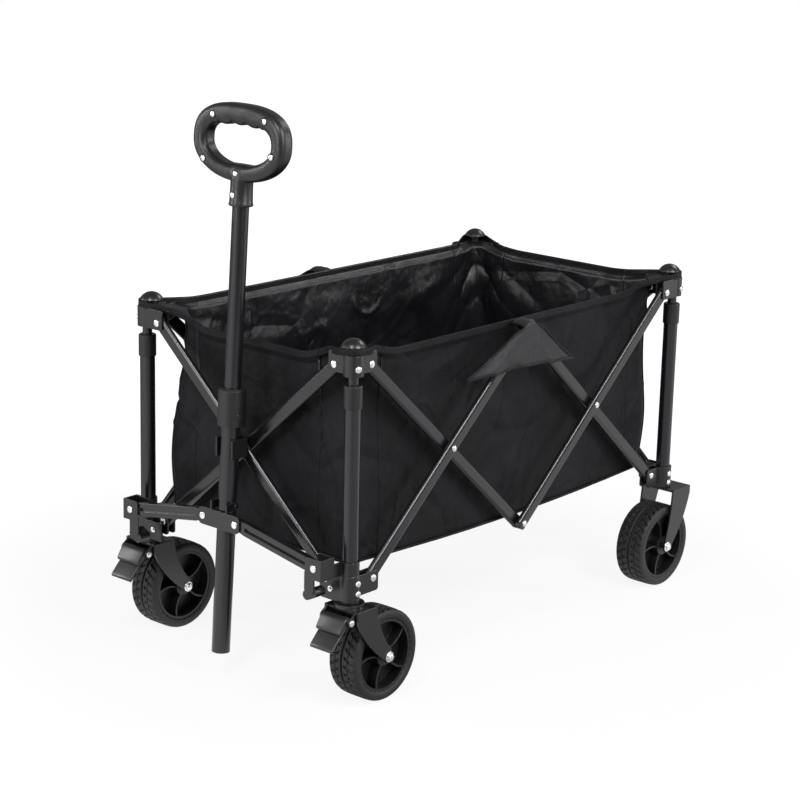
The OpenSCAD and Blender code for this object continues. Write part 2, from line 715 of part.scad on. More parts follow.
// Rounded oval with half width a, height b above and c below, and squarer corners above
function oval(a, b, c, n) = [for (i = [0 : n - 1]) let (
    t = 360 * i / n, p = sin(t) > 0 ? 2 / 2.7 : 1, h = sin(t) > 0 ? b : c)
    [a * sign(cos(t)) * pow(abs(cos(t)), p), h * sign(sin(t)) * pow(abs(sin(t)), p)]];

// Outline of the grip ring in the YZ plane, with finger waves under the top bar
module grip_ring_shape(shrink) {
    half = grip_h / 2;
    hole_top = half - grip_top + shrink;
    difference() {
        polygon(oval(grip_w / 2 - shrink, half - shrink, half - shrink, 72));
        difference() {
            polygon(oval(grip_w / 2 - grip_side + shrink, hole_top, half - grip_low + shrink, 72));
            for (k = [-1 : 1]) translate([k * 27, hole_top + 9]) circle(15, $fn = 48);
        }
    }
}

// One half of the grip shell; half is 1 front or -1 rear
module grip_shell(half) {
    deep = grip_thick / 2;
    steps = [[0.38, 0], [0.62, 1.3], [0.82, 3.6], [1, 7]];
    color(plastic_black) on_handle() translate([0, 0, grip_z]) rotate([90, 0, 90])
        mirror([0, 0, half < 0 ? 1 : 0]) translate([0, 0, seat_gap]) difference() {
            union() {
                for (s = steps) linear_extrude(deep * s[0]) grip_ring_shape(s[1]);
                intersection() {
                    translate([0, grip_neck_base_z - grip_z, 0]) rotate([-90, 0, 0])
                        cylinder(h = 40, r = grip_neck_r, $fn = 48);
                    translate([-50, -150, 0]) cube([100, 150, 50]);
                }
            }
            translate([0, grip_neck_base_z - grip_z - 1, -seat_gap]) rotate([-90, 0, 0])
                cylinder(h = inner_handle_top_z - grip_neck_base_z + 1 + face_gap,
                    r = inner_handle_r + seat_gap, $fn = 48);
        }
    if (half > 0) color(silver) on_handle() grip_screws();
}

// Screws that close the grip, seen on its front face
module grip_screws() {
    places = [[-56, 37], [56, 37], [-72, -22], [72, -22]];
    for (p = places)
        translate([grip_thick / 2 + seat_gap, p[0], grip_z + p[1]]) rotate([0, 90, 0])
            cylinder(h = 1.2, r = 4, $fn = 32);
    for (z = [grip_neck_base_z + 10, grip_z - grip_h / 2 + 5])
        translate([grip_neck_r - 1, 0, z]) rotate([0, 90, 0]) cylinder(h = 2.2, r = 4, $fn = 32);
}

// ---- bag ----

module bag_form(inset, top_z) {
    hull() {
        translate([-bag_half_x + inset, -bag_half_y + inset, top_z - 1])
            cube([2 * (bag_half_x - inset), 2 * (bag_half_y - inset), 1]);
        for (x = [-1, 1], y = [-1, 1])
            translate([x * (bag_half_x - bag_lean - bag_round), y * (bag_half_y - bag_round), 0])
                translate([0, 0, bag_bottom_z + bag_round]) sphere(bag_round - inset, $fn = 32);
    }
}

module bag() {
    color(fabric_black) difference() {
        bag_form(0, bag_top_z);
        bag_form(bag_wall, bag_top_z + 1);
    }
}

outer_post(1, 1);  // outer_post_fl
outer_post(1, -1);  // outer_post_fr
outer_post(-1, 1);  // outer_post_rl
outer_post(-1, -1);  // outer_post_rr
post_sleeve(1, 1);  // post_sleeve_fl
post_sleeve(1, -1);  // post_sleeve_fr
post_sleeve(-1, 1);  // post_sleeve_rl
post_sleeve(-1, -1);  // post_sleeve_rr
inner_post(1, 1);  // inner_post_fl
inner_post(1, -1);  // inner_post_fr
inner_post(-1, 1);  // inner_post_rl
inner_post(-1, -1);  // inner_post_rr
top_bracket(1, 1, -1, -1);  // top_bracket_fl
top_bracket(1, -1, 1, -1);  // top_bracket_fr
top_bracket(-1, 1, -1, 1);  // top_bracket_rl
top_bracket(-1, -1, 1, 1);  // top_bracket_rr
lower_bracket(1, 1, 1, 1, front_plate_z);  // lower_bracket_fl
lower_bracket(1, -1, -1, 1, front_plate_z);  // lower_bracket_fr
lower_bracket(-1, 1, 1, -1, rear_plate_z);  // lower_bracket_rl
lower_bracket(-1, -1, -1, -1, rear_plate_z);  // lower_bracket_rr
side_bar(1, 1, false);  // left_bar_front_down
side_bar(1, 1, true);  // left_bar_front_up
side_bar(1, -1, false);  // left_bar_rear_down
side_bar(1, -1, true);  // left_bar_rear_up
side_bar(-1, 1, false);  // right_bar_front_down
side_bar(-1, 1, true);  // right_bar_front_up
side_bar(-1, -1, false);  // right_bar_rear_down
side_bar(-1, -1, true);  // right_bar_rear_up
end_bar(1, 1, false);  // front_bar_to_left
end_bar(1, -1, false);  // front_bar_to_right
end_bar(-1, 1, true);  // rear_bar_to_left
end_bar(-1, -1, false);  // rear_bar_to_right
front_fork(1);  // caster_fork_fl
front_fork(-1);  // caster_fork_fr
rear_fork(1);  // rear_fork_rl
rear_fork(-1);  // rear_fork_rr
tyre(1, 1, -front_trail);  // tyre_fl
tyre(1, -1, -front_trail);  // tyre_fr
tyre(-1, 1, rear_lead);  // tyre_rl
tyre(-1, -1, rear_lead);  // tyre_rr
wheel_hub(1, 1, -front_trail);  // wheel_hub_fl
wheel_hub(1, -1, -front_trail);  // wheel_hub_fr
wheel_hub(-1, 1, rear_lead);  // wheel_hub_rl
wheel_hub(-1, -1, rear_lead);  // wheel_hub_rr
brake_pedal(1);  // brake_pedal_fl
brake_pedal(-1);  // brake_pedal_fr
stretcher(1);  // stretcher_left
stretcher(-1);  // stretcher_right
handle_bracket();
handle_clip();
handle_outer_tube();
handle_sleeve();
lock_button();
handle_inner_tube();
grip_shell(1);  // grip_front
grip_shell(-1);  // grip_rear
bag();
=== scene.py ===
"""Folding pull wagon: fabric bag, rivets, grip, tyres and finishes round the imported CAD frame."""

import json
import math

import bmesh
import bpy
import numpy as np
from mathutils import Matrix, Vector


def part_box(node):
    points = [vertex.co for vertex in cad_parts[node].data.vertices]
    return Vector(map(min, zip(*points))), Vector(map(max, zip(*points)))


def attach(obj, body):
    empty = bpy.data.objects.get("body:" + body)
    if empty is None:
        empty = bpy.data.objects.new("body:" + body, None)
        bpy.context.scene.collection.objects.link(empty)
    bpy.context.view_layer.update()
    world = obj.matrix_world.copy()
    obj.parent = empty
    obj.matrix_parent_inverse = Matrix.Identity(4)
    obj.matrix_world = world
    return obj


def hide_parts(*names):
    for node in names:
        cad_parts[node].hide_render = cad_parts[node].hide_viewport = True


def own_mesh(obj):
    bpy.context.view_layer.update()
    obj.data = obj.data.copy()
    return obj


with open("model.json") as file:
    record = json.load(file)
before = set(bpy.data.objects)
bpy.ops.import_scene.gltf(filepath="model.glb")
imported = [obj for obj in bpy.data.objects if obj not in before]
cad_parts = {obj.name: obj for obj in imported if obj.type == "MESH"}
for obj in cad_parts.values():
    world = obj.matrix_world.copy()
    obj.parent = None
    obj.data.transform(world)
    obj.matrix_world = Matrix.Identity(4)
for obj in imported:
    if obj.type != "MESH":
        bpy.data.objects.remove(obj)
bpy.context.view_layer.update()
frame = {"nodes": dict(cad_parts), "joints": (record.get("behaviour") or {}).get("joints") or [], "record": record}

bl_info = {
    "name": "Folding pull wagon",
    "version": (1, 0, 0),
    "blender": (4, 5, 0),
    "location": "View3D > Sidebar > Wagon",
    "description": "Makes the fabric, trim and finishes of a folding pull wagon",
    "category": "Object",
}


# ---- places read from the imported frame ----


def joint_place(name):
    """The point that a joint turns about, in metres."""
    return np.array(next(j for j in frame["joints"] if j["name"] == name)["pos_m"], float)


def node_middle(name):
    """The middle of a CAD node's box."""
    low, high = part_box(name)
    return (np.array(low, float) + np.array(high, float)) / 2


POST_X, POST_Y = node_middle("outer_post_fl")[:2]
LOW_Z = joint_place("fold")[2]
TOP_Z = joint_place("top_fl_pivot")[2]
MID_Z = (LOW_Z + TOP_Z) / 2
INSET = POST_X - joint_place("fold")[0]
CROSS_X = joint_place("left_front_crossing")[0]
BAG_TOP_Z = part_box("bag")[1][2]
# The underside of the domed caps, and the middle of the front left one in plan.
CAP_LOW_Z = BAG_TOP_Z + 0.003
CAP_MID = np.array([POST_X - 0.005, POST_Y - 0.005])
TILT = joint_place("handle_tilt")
# How far the handle leans back at rest, and the directions along it and ahead of it.
LEAN = math.radians(3.2)
UP_HANDLE = np.array([-math.sin(LEAN), 0.0, math.cos(LEAN)])
AHEAD_HANDLE = np.array([math.cos(LEAN), 0.0, math.sin(LEAN)])
CORNERS = {"fl": (1, 1), "fr": (1, -1), "rl": (-1, 1), "rr": (-1, -1)}
# A crossing of bars is BAR_RUN long and BAR_RISE high at rest. Folding turns its bars by FOLD_ANGLE, so it
# gets shorter by FOLD_Y. The front has one crossing, and each side has two.
FOLD_ANGLE = math.radians(30)
BAR_RUN, BAR_RISE = POST_X - INSET, TOP_Z - LOW_Z
BAR_REACH, BAR_ANGLE = math.hypot(BAR_RUN, BAR_RISE), math.atan2(BAR_RISE, BAR_RUN)
FOLD_Y = BAR_RUN - BAR_REACH * math.cos(BAR_ANGLE + FOLD_ANGLE)
FOLD_X = 2 * FOLD_Y


# ---- surfaces ----


def smooth_step(t):
    """3 t^2 - 2 t^3 on t held between 0 and 1."""
    t = np.clip(t, 0.0, 1.0)
    return t * t * (3 - 2 * t)


def bell(value, middle, width):
    """exp(-((value - middle) / width)^2): 1 at the middle, near 0 two widths away."""
    return np.exp(-(((value - middle) / width) ** 2))


def signed_power(value, power):
    """The size of a value raised to a power, with the value's own sign."""
    return np.sign(value) * np.abs(value) ** power


def grid_quads(nu, nv, close_u, close_v, start):
    """Corner numbers of the quads of a grid of nu by nv points, which may close in either direction."""
    i = np.arange(nu if close_u else nu - 1)
    j = np.arange(nv if close_v else nv - 1)
    a, b = np.meshgrid(i, j, indexing="ij")
    c, d = (a + 1) % nu, (b + 1) % nv
    return start + np.stack([a * nv + b, c * nv + b, c * nv + d, a * nv + d], -1).reshape(-1, 4)


class Shell:
    """Gathers grids of points into one mesh."""

    def __init__(self):
        self.points, self.quads, self.coords = [], [], []
        self.count = 0

    def add(self, points, coords=None, close_u=False, close_v=False, flip=False):
        """One grid of shape (nu, nv, 3), with cloth coordinates in metres of shape (nu, nv, 2)."""
        nu, nv = points.shape[:2]
        quads = grid_quads(nu, nv, close_u, close_v, self.count)
        if flip:
            quads = quads[:, ::-1]
        if coords is None:
            coords = np.zeros((nu, nv, 2))
        self.points.append(points.reshape(-1, 3))
        self.coords.append(coords.reshape(-1, 2))
        self.quads.append(quads)
        self.count += nu * nv
        return self

    def make(self, name, materials, closed=False, angle=None):
        """The mesh object at the origin.

        A closed one has its doubles merged and its normals turned outwards. Edges over angle stay sharp."""
        points, quads = np.concatenate(self.points), np.concatenate(self.quads)
        coords = np.concatenate(self.coords)
        mesh = bpy.data.meshes.new(name)
        mesh.from_pydata(points.tolist(), [], quads.tolist())
        layer = mesh.uv_layers.new(name="Cloth")
        layer.data.foreach_set("uv", coords[quads.ravel()].astype(np.float32).ravel())
        mesh.polygons.foreach_set("use_smooth", np.ones(len(quads), bool))
        made = bpy.data.objects.new(name, mesh)
        bpy.context.scene.collection.objects.link(made)
        for material in materials:
            mesh.materials.append(material)
        if closed:
            work = bmesh.new()
            work.from_mesh(mesh)
            bmesh.ops.remove_doubles(work, verts=work.verts, dist=2e-6)
            bmesh.ops.dissolve_degenerate(work, edges=work.edges, dist=1e-6)
            bmesh.ops.recalc_face_normals(work, faces=work.faces)
            work.to_mesh(mesh)
            work.free()
        if angle is not None:
            mesh.set_sharp_from_angle(angle=math.radians(angle))
        mesh.update()
        return made


def unit(v):
    """Vectors scaled to length 1 along the last axis."""
    return v / np.maximum(np.linalg.norm(v, axis=-1, keepdims=True), 1e-12)


def turned(profile, place, axis, around):
    """A profile of (radius, height) points turned about an axis, in a number of steps around.

    A point is place + height * axis + radius * (cos, sin)."""
    axis = unit(np.array(axis, float))
    side = unit(np.cross(axis, [0.3, 0.5, 0.8]))
    other = np.cross(axis, side)
    a = np.linspace(0, 2 * np.pi, around, endpoint=False)[:, None, None]
    profile = np.array(profile, float)
    r, h = profile[None, :, :1], profile[None, :, 1:]
    return np.array(place, float) + h * axis + r * (np.cos(a) * side + np.sin(a) * other)


def carried(path, out, up, section):
    """A closed section of (s, t) points carried along a path: path + s * out + t * up.

    Each end is closed by a ring drawn together to one point."""
    section = np.array(section, float)
    rings = path[:, None] + section[None, :, :1] * out[:, None] + section[None, :, 1:] * up[:, None]
    first = np.repeat(rings[:1].mean(1, keepdims=True), rings.shape[1], 1)
    last = np.repeat(rings[-1:].mean(1, keepdims=True), rings.shape[1], 1)
    return np.concatenate([first, rings, last])


def round_section(width, height, power, count):
    """A superellipse: (w/2 cos, h/2 sin), where cos and sin are raised to 2/power with their sign kept."""
    a = np.linspace(0, 2 * np.pi, count, endpoint=False)
    return np.stack([width / 2 * signed_power(np.cos(a), 2 / power),
                     height / 2 * signed_power(np.sin(a), 2 / power)], -1)


def lengths_along(path):
    """How far along a path each of its points is."""
    return np.concatenate([[0], np.cumsum(np.linalg.norm(np.diff(path, axis=0), axis=1))])


def evenly(path, count):
    """The path read again at count places that are equally far apart along it."""
    along = lengths_along(path)
    at = np.linspace(0, along[-1], count)
    return np.stack([np.interp(at, along, path[:, k]) for k in range(path.shape[1])], -1)


WAVES = 14
WAVE_PEAK = 1.6


def ripple(points, size, seed):
    """Smooth noise near -1 to 1: the cosines of WAVES plane waves about size metres long, summed.

    Their directions and phases are set by the seed. The sum is divided by its spread and by WAVE_PEAK."""
    draw = np.random.default_rng(seed)
    ways = unit(draw.normal(size=(WAVES, 3))) * (2 * np.pi / size) * draw.uniform(0.6, 1.5, (WAVES, 1))
    phase = draw.uniform(0, 2 * np.pi, WAVES)
    return np.cos(points @ ways.T + phase).sum(-1) / math.sqrt(WAVES / 2) / WAVE_PEAK


# ---- finishes ----


class Value:
    """A node's output, with the operators that add Math nodes."""

    def __init__(self, finish, socket):
        self.finish, self.socket = finish, socket

    def _math(self, operation, *values):
        return self.finish.node("ShaderNodeMath", {"operation": operation}, *values)

    def __add__(self, other):
        return self._math("ADD", self, other)

    def __sub__(self, other):
        return self._math("SUBTRACT", self, other)

    def __rsub__(self, other):
        return self._math("SUBTRACT", other, self)

    def __mul__(self, other):
        return self._math("MULTIPLY", self, other)

    def __truediv__(self, other):
        return self._math("DIVIDE", self, other)

    def __lt__(self, other):
        return self._math("LESS_THAN", self, other)

    def fraction(self):
        """What is left over whole numbers."""
        return self._math("FRACT", self)

    def size(self):
        """Without its sign."""
        return self._math("ABSOLUTE", self)

    def wave(self):
        """The sine."""
        return self._math("SINE", self)

    def clamped(self, low, high, to_low=0.0, to_high=1.0):
        """Mapped from low..high to to_low..to_high, held at the ends."""
        settings = {"clamp": True}
        return self.finish.node("ShaderNodeMapRange", settings, self, low, high, to_low, to_high)


class Finish:
    """A procedural material on a Principled shader."""

    def __init__(self, name, colour, roughness, metallic=0.0, **constants):
        self.material = bpy.data.materials.new(name)
        self.material.use_nodes = True
        self.nodes, self.links = self.material.node_tree.nodes, self.material.node_tree.links
        self.shader = self.nodes["Principled BSDF"]
        self.colour = tuple(colour)
        self.set("Base Color", (*colour, 1.0))
        self.set("Roughness", roughness)
        self.set("Metallic", metallic)
        for key, value in constants.items():
            self.set(key.replace("_", " "), value)
        self.material.diffuse_color = (*colour, 1.0)

    def set(self, socket, value):
        """Puts a number, a colour or a node's output on one socket of the shader."""
        if isinstance(value, Value):
            self.links.new(value.socket, self.shader.inputs[socket])
        else:
            self.shader.inputs[socket].default_value = value

    def node(self, kind, settings=None, *values, output=0, **named):
        """Adds a node, sets its settings, then its inputs by order or by name, and gives one output."""
        made = self.nodes.new(kind)
        for key, value in (settings or {}).items():
            setattr(made, key, value)
        pairs = [(made.inputs[k], v) for k, v in enumerate(values)]
        pairs += [(made.inputs[k.replace("_", " ")], v) for k, v in named.items()]
        for socket, value in pairs:
            if isinstance(value, Value):
                self.links.new(value.socket, socket)
            elif value is not None:
                socket.default_value = value
        return Value(self, made.outputs[output])

    def place(self):
        """Object coordinates, in metres."""
        return self.node("ShaderNodeTexCoord", output=3)

    def cloth(self):
        """The piece's own cloth coordinates, in metres along and across."""
        return self.node("ShaderNodeUVMap", {"uv_map": "Cloth"})

    def noise(self, scale, detail):
        """Noise from 0 to 1 with scale features a metre."""
        return self.node("ShaderNodeTexNoise", None, Vector=self.place(), Scale=scale,
                         Detail=detail, Roughness=0.55)

    def split(self, vector):
        """The three parts of a vector."""
        made = self.node("ShaderNodeSeparateXYZ", None, vector).socket.node
        return [Value(self, part) for part in made.outputs]

    def blend(self, share, first, second):
        """A colour between first and second."""
        made = self.nodes.new("ShaderNodeMix")
        made.data_type = "RGBA"
        self.links.new(share.socket, made.inputs[0])
        for socket, value in ((made.inputs[6], first), (made.inputs[7], second)):
            if isinstance(value, Value):
                self.links.new(value.socket, socket)
            else:
                socket.default_value = (*value, 1.0)
        return Value(self, made.outputs[2])

    def bump(self, height, strength, distance, under=None):
        """Adds relief, over another relief if given, and puts it on Normal."""
        made = self.node("ShaderNodeBump", None, Height=height, Strength=strength, Distance=distance,
                         Normal=under)
        self.set("Normal", made)
        return made

    def rounded(self, radius):
        """Edges shaded as if rounded to a radius, and how strongly a place is an edge, 0 to 1."""
        soft = self.node("ShaderNodeBevel", {"samples": 6}, radius)
        flat = self.node("ShaderNodeNewGeometry", output=1)
        same = self.node("ShaderNodeVectorMath", {"operation": "DOT_PRODUCT"}, soft, flat, output=1)
        return soft, (1 - same).clamped(0.01, 0.25)


def shade(colour, factor):
    """A colour made lighter or darker."""
    return tuple(min(1.0, c * factor) for c in colour)


def powder_coat(name, colour, roughness, edge, radius=0.0018):
    """Satin powder coat: fine orange peel, patchy gloss, and a painted highlight on rounded edges, which are edge
    times as light in patches.
    """
    f = Finish(name, colour, roughness, Specular_IOR_Level=0.65)
    soft, edges = f.rounded(radius)
    patches = f.noise(38, 4)
    # Painted highlight: the rounded edges are lightened in the base colour, up to edge times as light, in patches.
    f.set("Base Color", f.blend(edges * patches.clamped(0.3, 0.7), colour, shade(colour, edge)))
    peel = f.noise(1900, 1.5)
    f.set("Roughness", patches * 0.10 + (roughness - 0.05) + peel * 0.03)
    f.bump(peel, 0.12, 0.0002, soft)
    return f.material


def moulded_plastic(name, colour, roughness, grain=2400):
    """Moulded plastic with a fine spark grain, rounded edges with a painted highlight that makes them half as
    light again, and uneven gloss.
    """
    f = Finish(name, colour, roughness)
    soft, edges = f.rounded(radius=0.001)
    grains = f.noise(grain, 2)
    patches = f.noise(30, 3)
    # Painted highlight: the rounded edges are made half as light again in the base colour.
    f.set("Base Color", f.blend(edges, colour, shade(colour, 1.5)))
    f.set("Roughness", patches * 0.12 + (roughness - 0.06))
    f.bump(grains, 0.22, 0.00025, soft)
    return f.material


def tyre_rubber(name, colour, roughness):
    """Matte rubber, a little dusty in soft patches, with a faint mould grain."""
    f = Finish(name, colour, roughness)
    dust = f.noise(60, 5)
    grain = f.noise(1500, 2)
    f.set("Base Color", f.blend(dust.clamped(0.45, 0.8) * 0.5, colour, shade(colour, 1.9)))
    f.set("Roughness", dust * 0.12 + (roughness - 0.06))
    f.bump(grain, 0.25, 0.0003)
    return f.material


def bare_metal(name, colour, roughness):
    """Zinc-plated steel with fine turning marks and small stains."""
    f = Finish(name, colour, roughness, metallic=1.0)
    stain = f.noise(240, 4)
    fine = f.noise(3000, 2)
    f.set("Base Color", f.blend(stain.clamped(0.4, 0.75), colour, shade(colour, 0.82)))
    f.set("Roughness", stain * 0.16 + (roughness - 0.08))
    f.bump(fine, 0.08, 0.0001)
    return f.material


# Distance of a row of stitches from the middle of the hem, their width and spacing, and the share that shows.
STITCH_ROW, STITCH_WIDTH, STITCH_LENGTH, STITCH_SHARE = 0.0028, 0.0007, 0.0042, 0.7


def woven(name, colour, roughness, pitch, crush, gloss, weave=0.5, stitched=False):
    """Plain-woven coated cloth: threads over and under, slubs, crush marks, and rows of thread if stitched.

    Thread height is the product of two sine waves across the cloth, pitch metres apart. Crush marks run along
    the edges between random cells, over soft noise, and crush is their height."""
    f = Finish(name, colour, roughness, Specular_IOR_Level=gloss)
    along, across, _ = f.split(f.cloth())
    turn = 2 * math.pi / pitch
    threads = (along * turn).wave() * (across * turn).wave()
    slub = f.noise(420, 3)
    patches = f.noise(9, 4)
    folds = f.node("ShaderNodeTexVoronoi", {"feature": "DISTANCE_TO_EDGE"}, Vector=f.place(), Scale=5.5)
    tone = f.blend(threads.clamped(-1, 1), shade(colour, 0.72), shade(colour, 1.22))
    tone = f.blend(slub.clamped(0.45, 0.75) * 0.5, tone, shade(colour, 1.5))
    # Painted light: broad random patches up to 3.2 times as light stand in for the soft light and shade on the
    # wrinkled cloth.
    tone = f.blend(patches.clamped(0.42, 0.68) * 0.6, tone, shade(colour, 3.2))
    f.set("Roughness", patches * 0.14 + (roughness - 0.07) + slub * 0.05)
    relief = f.bump(folds.clamped(0.0, 0.09), 0.5, crush)
    relief = f.bump(f.noise(11, 3), 0.7, crush * 3.0, relief)
    relief = f.bump(threads, weave, 0.0002, relief)
    if stitched:
        on_line = (across.size() - STITCH_ROW).size() < STITCH_WIDTH / 2
        row = on_line * ((along / STITCH_LENGTH).fraction() < STITCH_SHARE)
        tone = f.blend(row, tone, shade(colour, 2.6))
        f.bump(row, 0.6, 0.0004, relief)
    f.set("Base Color", tone)
    return f.material


MATERIALS = {}


# ---- settings ----


def metres(label, text, value, **limits):
    """A length property."""
    return bpy.props.FloatProperty(name=label, description=text, default=value, subtype="DISTANCE",
                                   unit="LENGTH", precision=4, **limits)


def paint(label, text, value):
    """A colour property."""
    return bpy.props.FloatVectorProperty(name=label, description=text, default=value, min=0.0, max=1.0,
                                         size=3, subtype="COLOR")


class WagonFabric(bpy.types.PropertyGroup):
    """Cut and colour of the bag."""

    colour: paint("Cloth", "Colour of the bag's cloth", (0.0046, 0.0047, 0.0056))
    lining: paint("Lining", "Colour of the coated inner face", (0.0055, 0.0056, 0.0066))
    trim: paint("Trim", "Colour of the hem and piping", (0.0050, 0.0051, 0.0060))
    pitch: metres("Thread pitch", "Distance from thread to thread", 0.0009, min=0.0004, max=0.003)
    crease: metres("Crease depth", "How deep the creases of the walls are", 0.0042, min=0.0, max=0.008)
    hem: metres("Hem width", "Height of the folded hem round the rim", 0.0105, min=0.006, max=0.02)
    hem_thick: metres("Hem thickness", "Thickness of the folded hem", 0.0024, min=0.002, max=0.006)
    sag: metres("Floor sag", "How far the floor hangs in the middle", 0.012, min=0.0, max=0.02)
    flap: metres("Flap width", "Width of the side flaps at the foot", 0.280, min=0.2, max=0.32)


class WagonMetal(bpy.types.PropertyGroup):
    """Coat and rivets of the frame."""

    tube: paint("Tubes", "Powder coat of the tubes and bars", (0.0070, 0.0073, 0.0090))
    bracket: paint("Brackets", "Powder coat of the brackets and forks", (0.0058, 0.0060, 0.0070))
    pedal: paint("Pedals", "Coat of the brake pedals", (0.0115, 0.0117, 0.0128))
    rivet: paint("Rivets", "Plating of the rivet heads", (0.93, 0.93, 0.94))
    head: metres("Rivet head", "Radius of a rivet head", 0.0060, min=0.004, max=0.007)


class WagonPlastic(bpy.types.PropertyGroup):
    """Grip, caps, hubs and tyres."""

    trim: paint("Trim", "Colour of caps, sleeves and clip", (0.0078, 0.0079, 0.0086))
    grip: paint("Grip", "Colour of the grip", (0.0085, 0.0087, 0.0096))
    hub: paint("Hubs", "Colour of the wheel hubs", (0.0070, 0.0070, 0.0076))
    rubber: paint("Tyres", "Colour of the tyres", (0.0082, 0.0083, 0.0090))
    groove: metres("Groove depth", "Depth of the tread grooves", 0.0032, min=0.001, max=0.005)
    blocks: bpy.props.IntProperty(name="Tread blocks", description="Tread blocks round each tyre",
                                  default=34, min=20, max=48)


class WagonStage(bpy.types.PropertyGroup):
    """Floor, lamps and camera."""

    floor: paint("Floor", "Colour of the floor", (0.42, 0.42, 0.43))
    light: bpy.props.FloatProperty(name="Light", description="Factor on every lamp",
                                   default=1.0, min=0.1, max=4.0)


# ---- cloth ----

# How far a corner piece reaches along each wall from its post.
CORNER_REACH = 0.090
# The plan of the bag at the bottom seam: half its length and width, and the radius of its corners.
HALF_X, HALF_Y = 0.397, 0.2035
TURN_R = 0.030
# The corners' radius at the rim, at the front (1) and the rear (-1).
TOP_TURN = {1: 0.070, -1: 0.022}
# How far the hem stands out from the wall, and its radius round a post.
RIM_OUT = 0.0050
WRAP_R = 0.0205
# How much lower each wall's rim is than the caps.
RIM_DROP = {"left": 0.024, "right": 0.006, "front": 0.031, "rear": 0.011}
# The shares of the height where the wall ends and where the hem starts, and the points up the wall.
WALL_SHARE, GUSSET_SHARE = 0.86, 0.95
WALL_ROWS = 90
# The piping of a corner ends this many points below the top of the hem.
PIPING_STOP = 18
CLOTH_THICK = 0.0011
# Height of the bottom seam at the ends, and how far inside the walls the floor is sewn in.
SEAM_Z = 0.2235
SEAM_IN = 0.0025
WALL_BODY = {"left": "top_fl", "right": "top_fr", "front": "top_fl", "rear": "top_rl"}


def post_distance(x, y):
    """Distance in plan from the nearest corner post."""
    return np.hypot(POST_X - np.abs(x), POST_Y - np.abs(y))


def floor_edge_z(x):
    """Height of the bottom seam: lowest in the middle, rising with the square of the distance to the ends."""
    sag = bpy.context.scene.wagon_fabric.sag
    return SEAM_Z - sag * (1 - np.clip(np.abs(x) / HALF_X, 0, 1) ** 2)


def rim_z(far, drop):
    """Top of the hem at a distance from a post: under the cap, then in two easy steps lower by drop."""
    play, first = 0.0006, 0.0045
    second = drop - first
    return CAP_LOW_Z - play - first * smooth_step(far / 0.04) - second * smooth_step((far - 0.03) / 0.10)


def loosened(points, share_up):
    """How far the cloth stands out from its plan, as a sum of smooth waves of the place.

    There are folds that run down from the rim, broad billows, two sets of sharp creases, and folds that fan
    out from the post tops. All fade out at the hem, and mostly out at the bottom seam. A belly low down is
    deeper at the corners, and a narrow band stands out along the bottom seam."""
    depth = bpy.context.scene.wagon_fabric.crease
    stretched = points * np.array([1.0, 1.0, 0.35])
    folds = ripple(stretched, 0.10, 11)
    broad = ripple(points, 0.26, 5)
    slant = points + 0.5 * np.roll(points, 1, axis=-1)
    sharp = bell(ripple(slant, 0.17, 23), 0, 0.13) * smooth_step(ripple(points, 0.3, 31) * 1.4 + 0.45)
    crossing = bell(ripple(slant[..., ::-1], 0.11, 47), 0, 0.10)
    crossing = crossing * smooth_step(ripple(points, 0.22, 53) * 1.5 + 0.2)
    far = post_distance(points[..., 0], points[..., 1])
    down = BAG_TOP_Z - points[..., 2]
    angle, reach = np.arctan2(down, far), np.hypot(far, down)
    rays = np.abs(np.sin(7.5 * angle + 1.2 * ripple(points, 0.25, 61)))
    fan = (1 - 2 * rays**0.7) * bell(reach, 0.07, 0.12) * smooth_step(reach / 0.05)
    belly = bell(share_up, 0.26, 0.24) * (1 + 0.9 * smooth_step((0.09 - far) / 0.05))
    fade = smooth_step(share_up / 0.10) * smooth_step((1.0 - share_up) / 0.16)
    waves = 0.34 * folds + 0.33 * broad - 0.66 * sharp + 0.50 * crossing + 0.46 * fan
    band = 0.0009 * smooth_step((0.040 - share_up) / 0.004)
    rest = -0.0035 + 0.0045 * belly + 0.0035 * smooth_step((share_up - 0.75) / 0.25)
    under_hem = smooth_step((1.02 - share_up) / 0.12)
    return depth * waves * (0.2 + 0.8 * fade) * under_hem + rest + band


def wall_grid(low_plan, top_plan, out, loop, rise_z):
    """The cloth of one stretch of the bag, from the bottom seam to the top of the hem.

    The wall hangs along low_plan at the foot and top_plan at the rim, and out is its outward direction. Up
    to WALL_SHARE a point is plan + out * looseness. Then it crosses to loop, the hem's line, and goes up."""
    hem = bpy.context.scene.wagon_fabric.hem
    v = np.linspace(0, WALL_SHARE, WALL_ROWS)
    v = np.unique(np.concatenate([v, np.linspace(WALL_SHARE, GUSSET_SHARE, 12), [0.965, 0.982, 1.0]]))
    up = v[None, :]
    top = rise_z[:, None]
    far = post_distance(low_plan[:, 0], low_plan[:, 1])
    ease = smooth_step((far - 0.045) / 0.045)[:, None]
    wall_top = top - hem - 0.004 - 0.003 * ease
    share_up = np.clip(up / WALL_SHARE, 0, 1)
    lean = smooth_step((share_up - 0.4) / 0.6)[..., None]
    plan = low_plan[:, None, :] * (1 - lean) + top_plan[:, None, :] * lean
    bottom = floor_edge_z(low_plan[:, 0])[:, None]
    cross = smooth_step((up - WALL_SHARE) / (GUSSET_SHARE - WALL_SHARE))
    z = bottom + (wall_top - bottom) * share_up
    z = z + (top - hem - wall_top) * smooth_step(cross / (0.35 + 0.65 * ease))
    z = z + hem * np.clip((up - GUSSET_SHARE) / (1 - GUSSET_SHARE), 0, 1)
    loose = loosened(np.concatenate([plan, z[..., None]], -1), share_up)
    flat = plan * (1 - cross[..., None]) + loop[:, None, :] * cross[..., None]
    flat = flat + out[:, None, :] * (loose * (1 - cross))[..., None]
    points = np.concatenate([flat, z[..., None]], -1)
    cut_height = 0.35
    coords = np.stack(np.broadcast_arrays(lengths_along(low_plan)[:, None], up * cut_height), -1)
    return points, coords


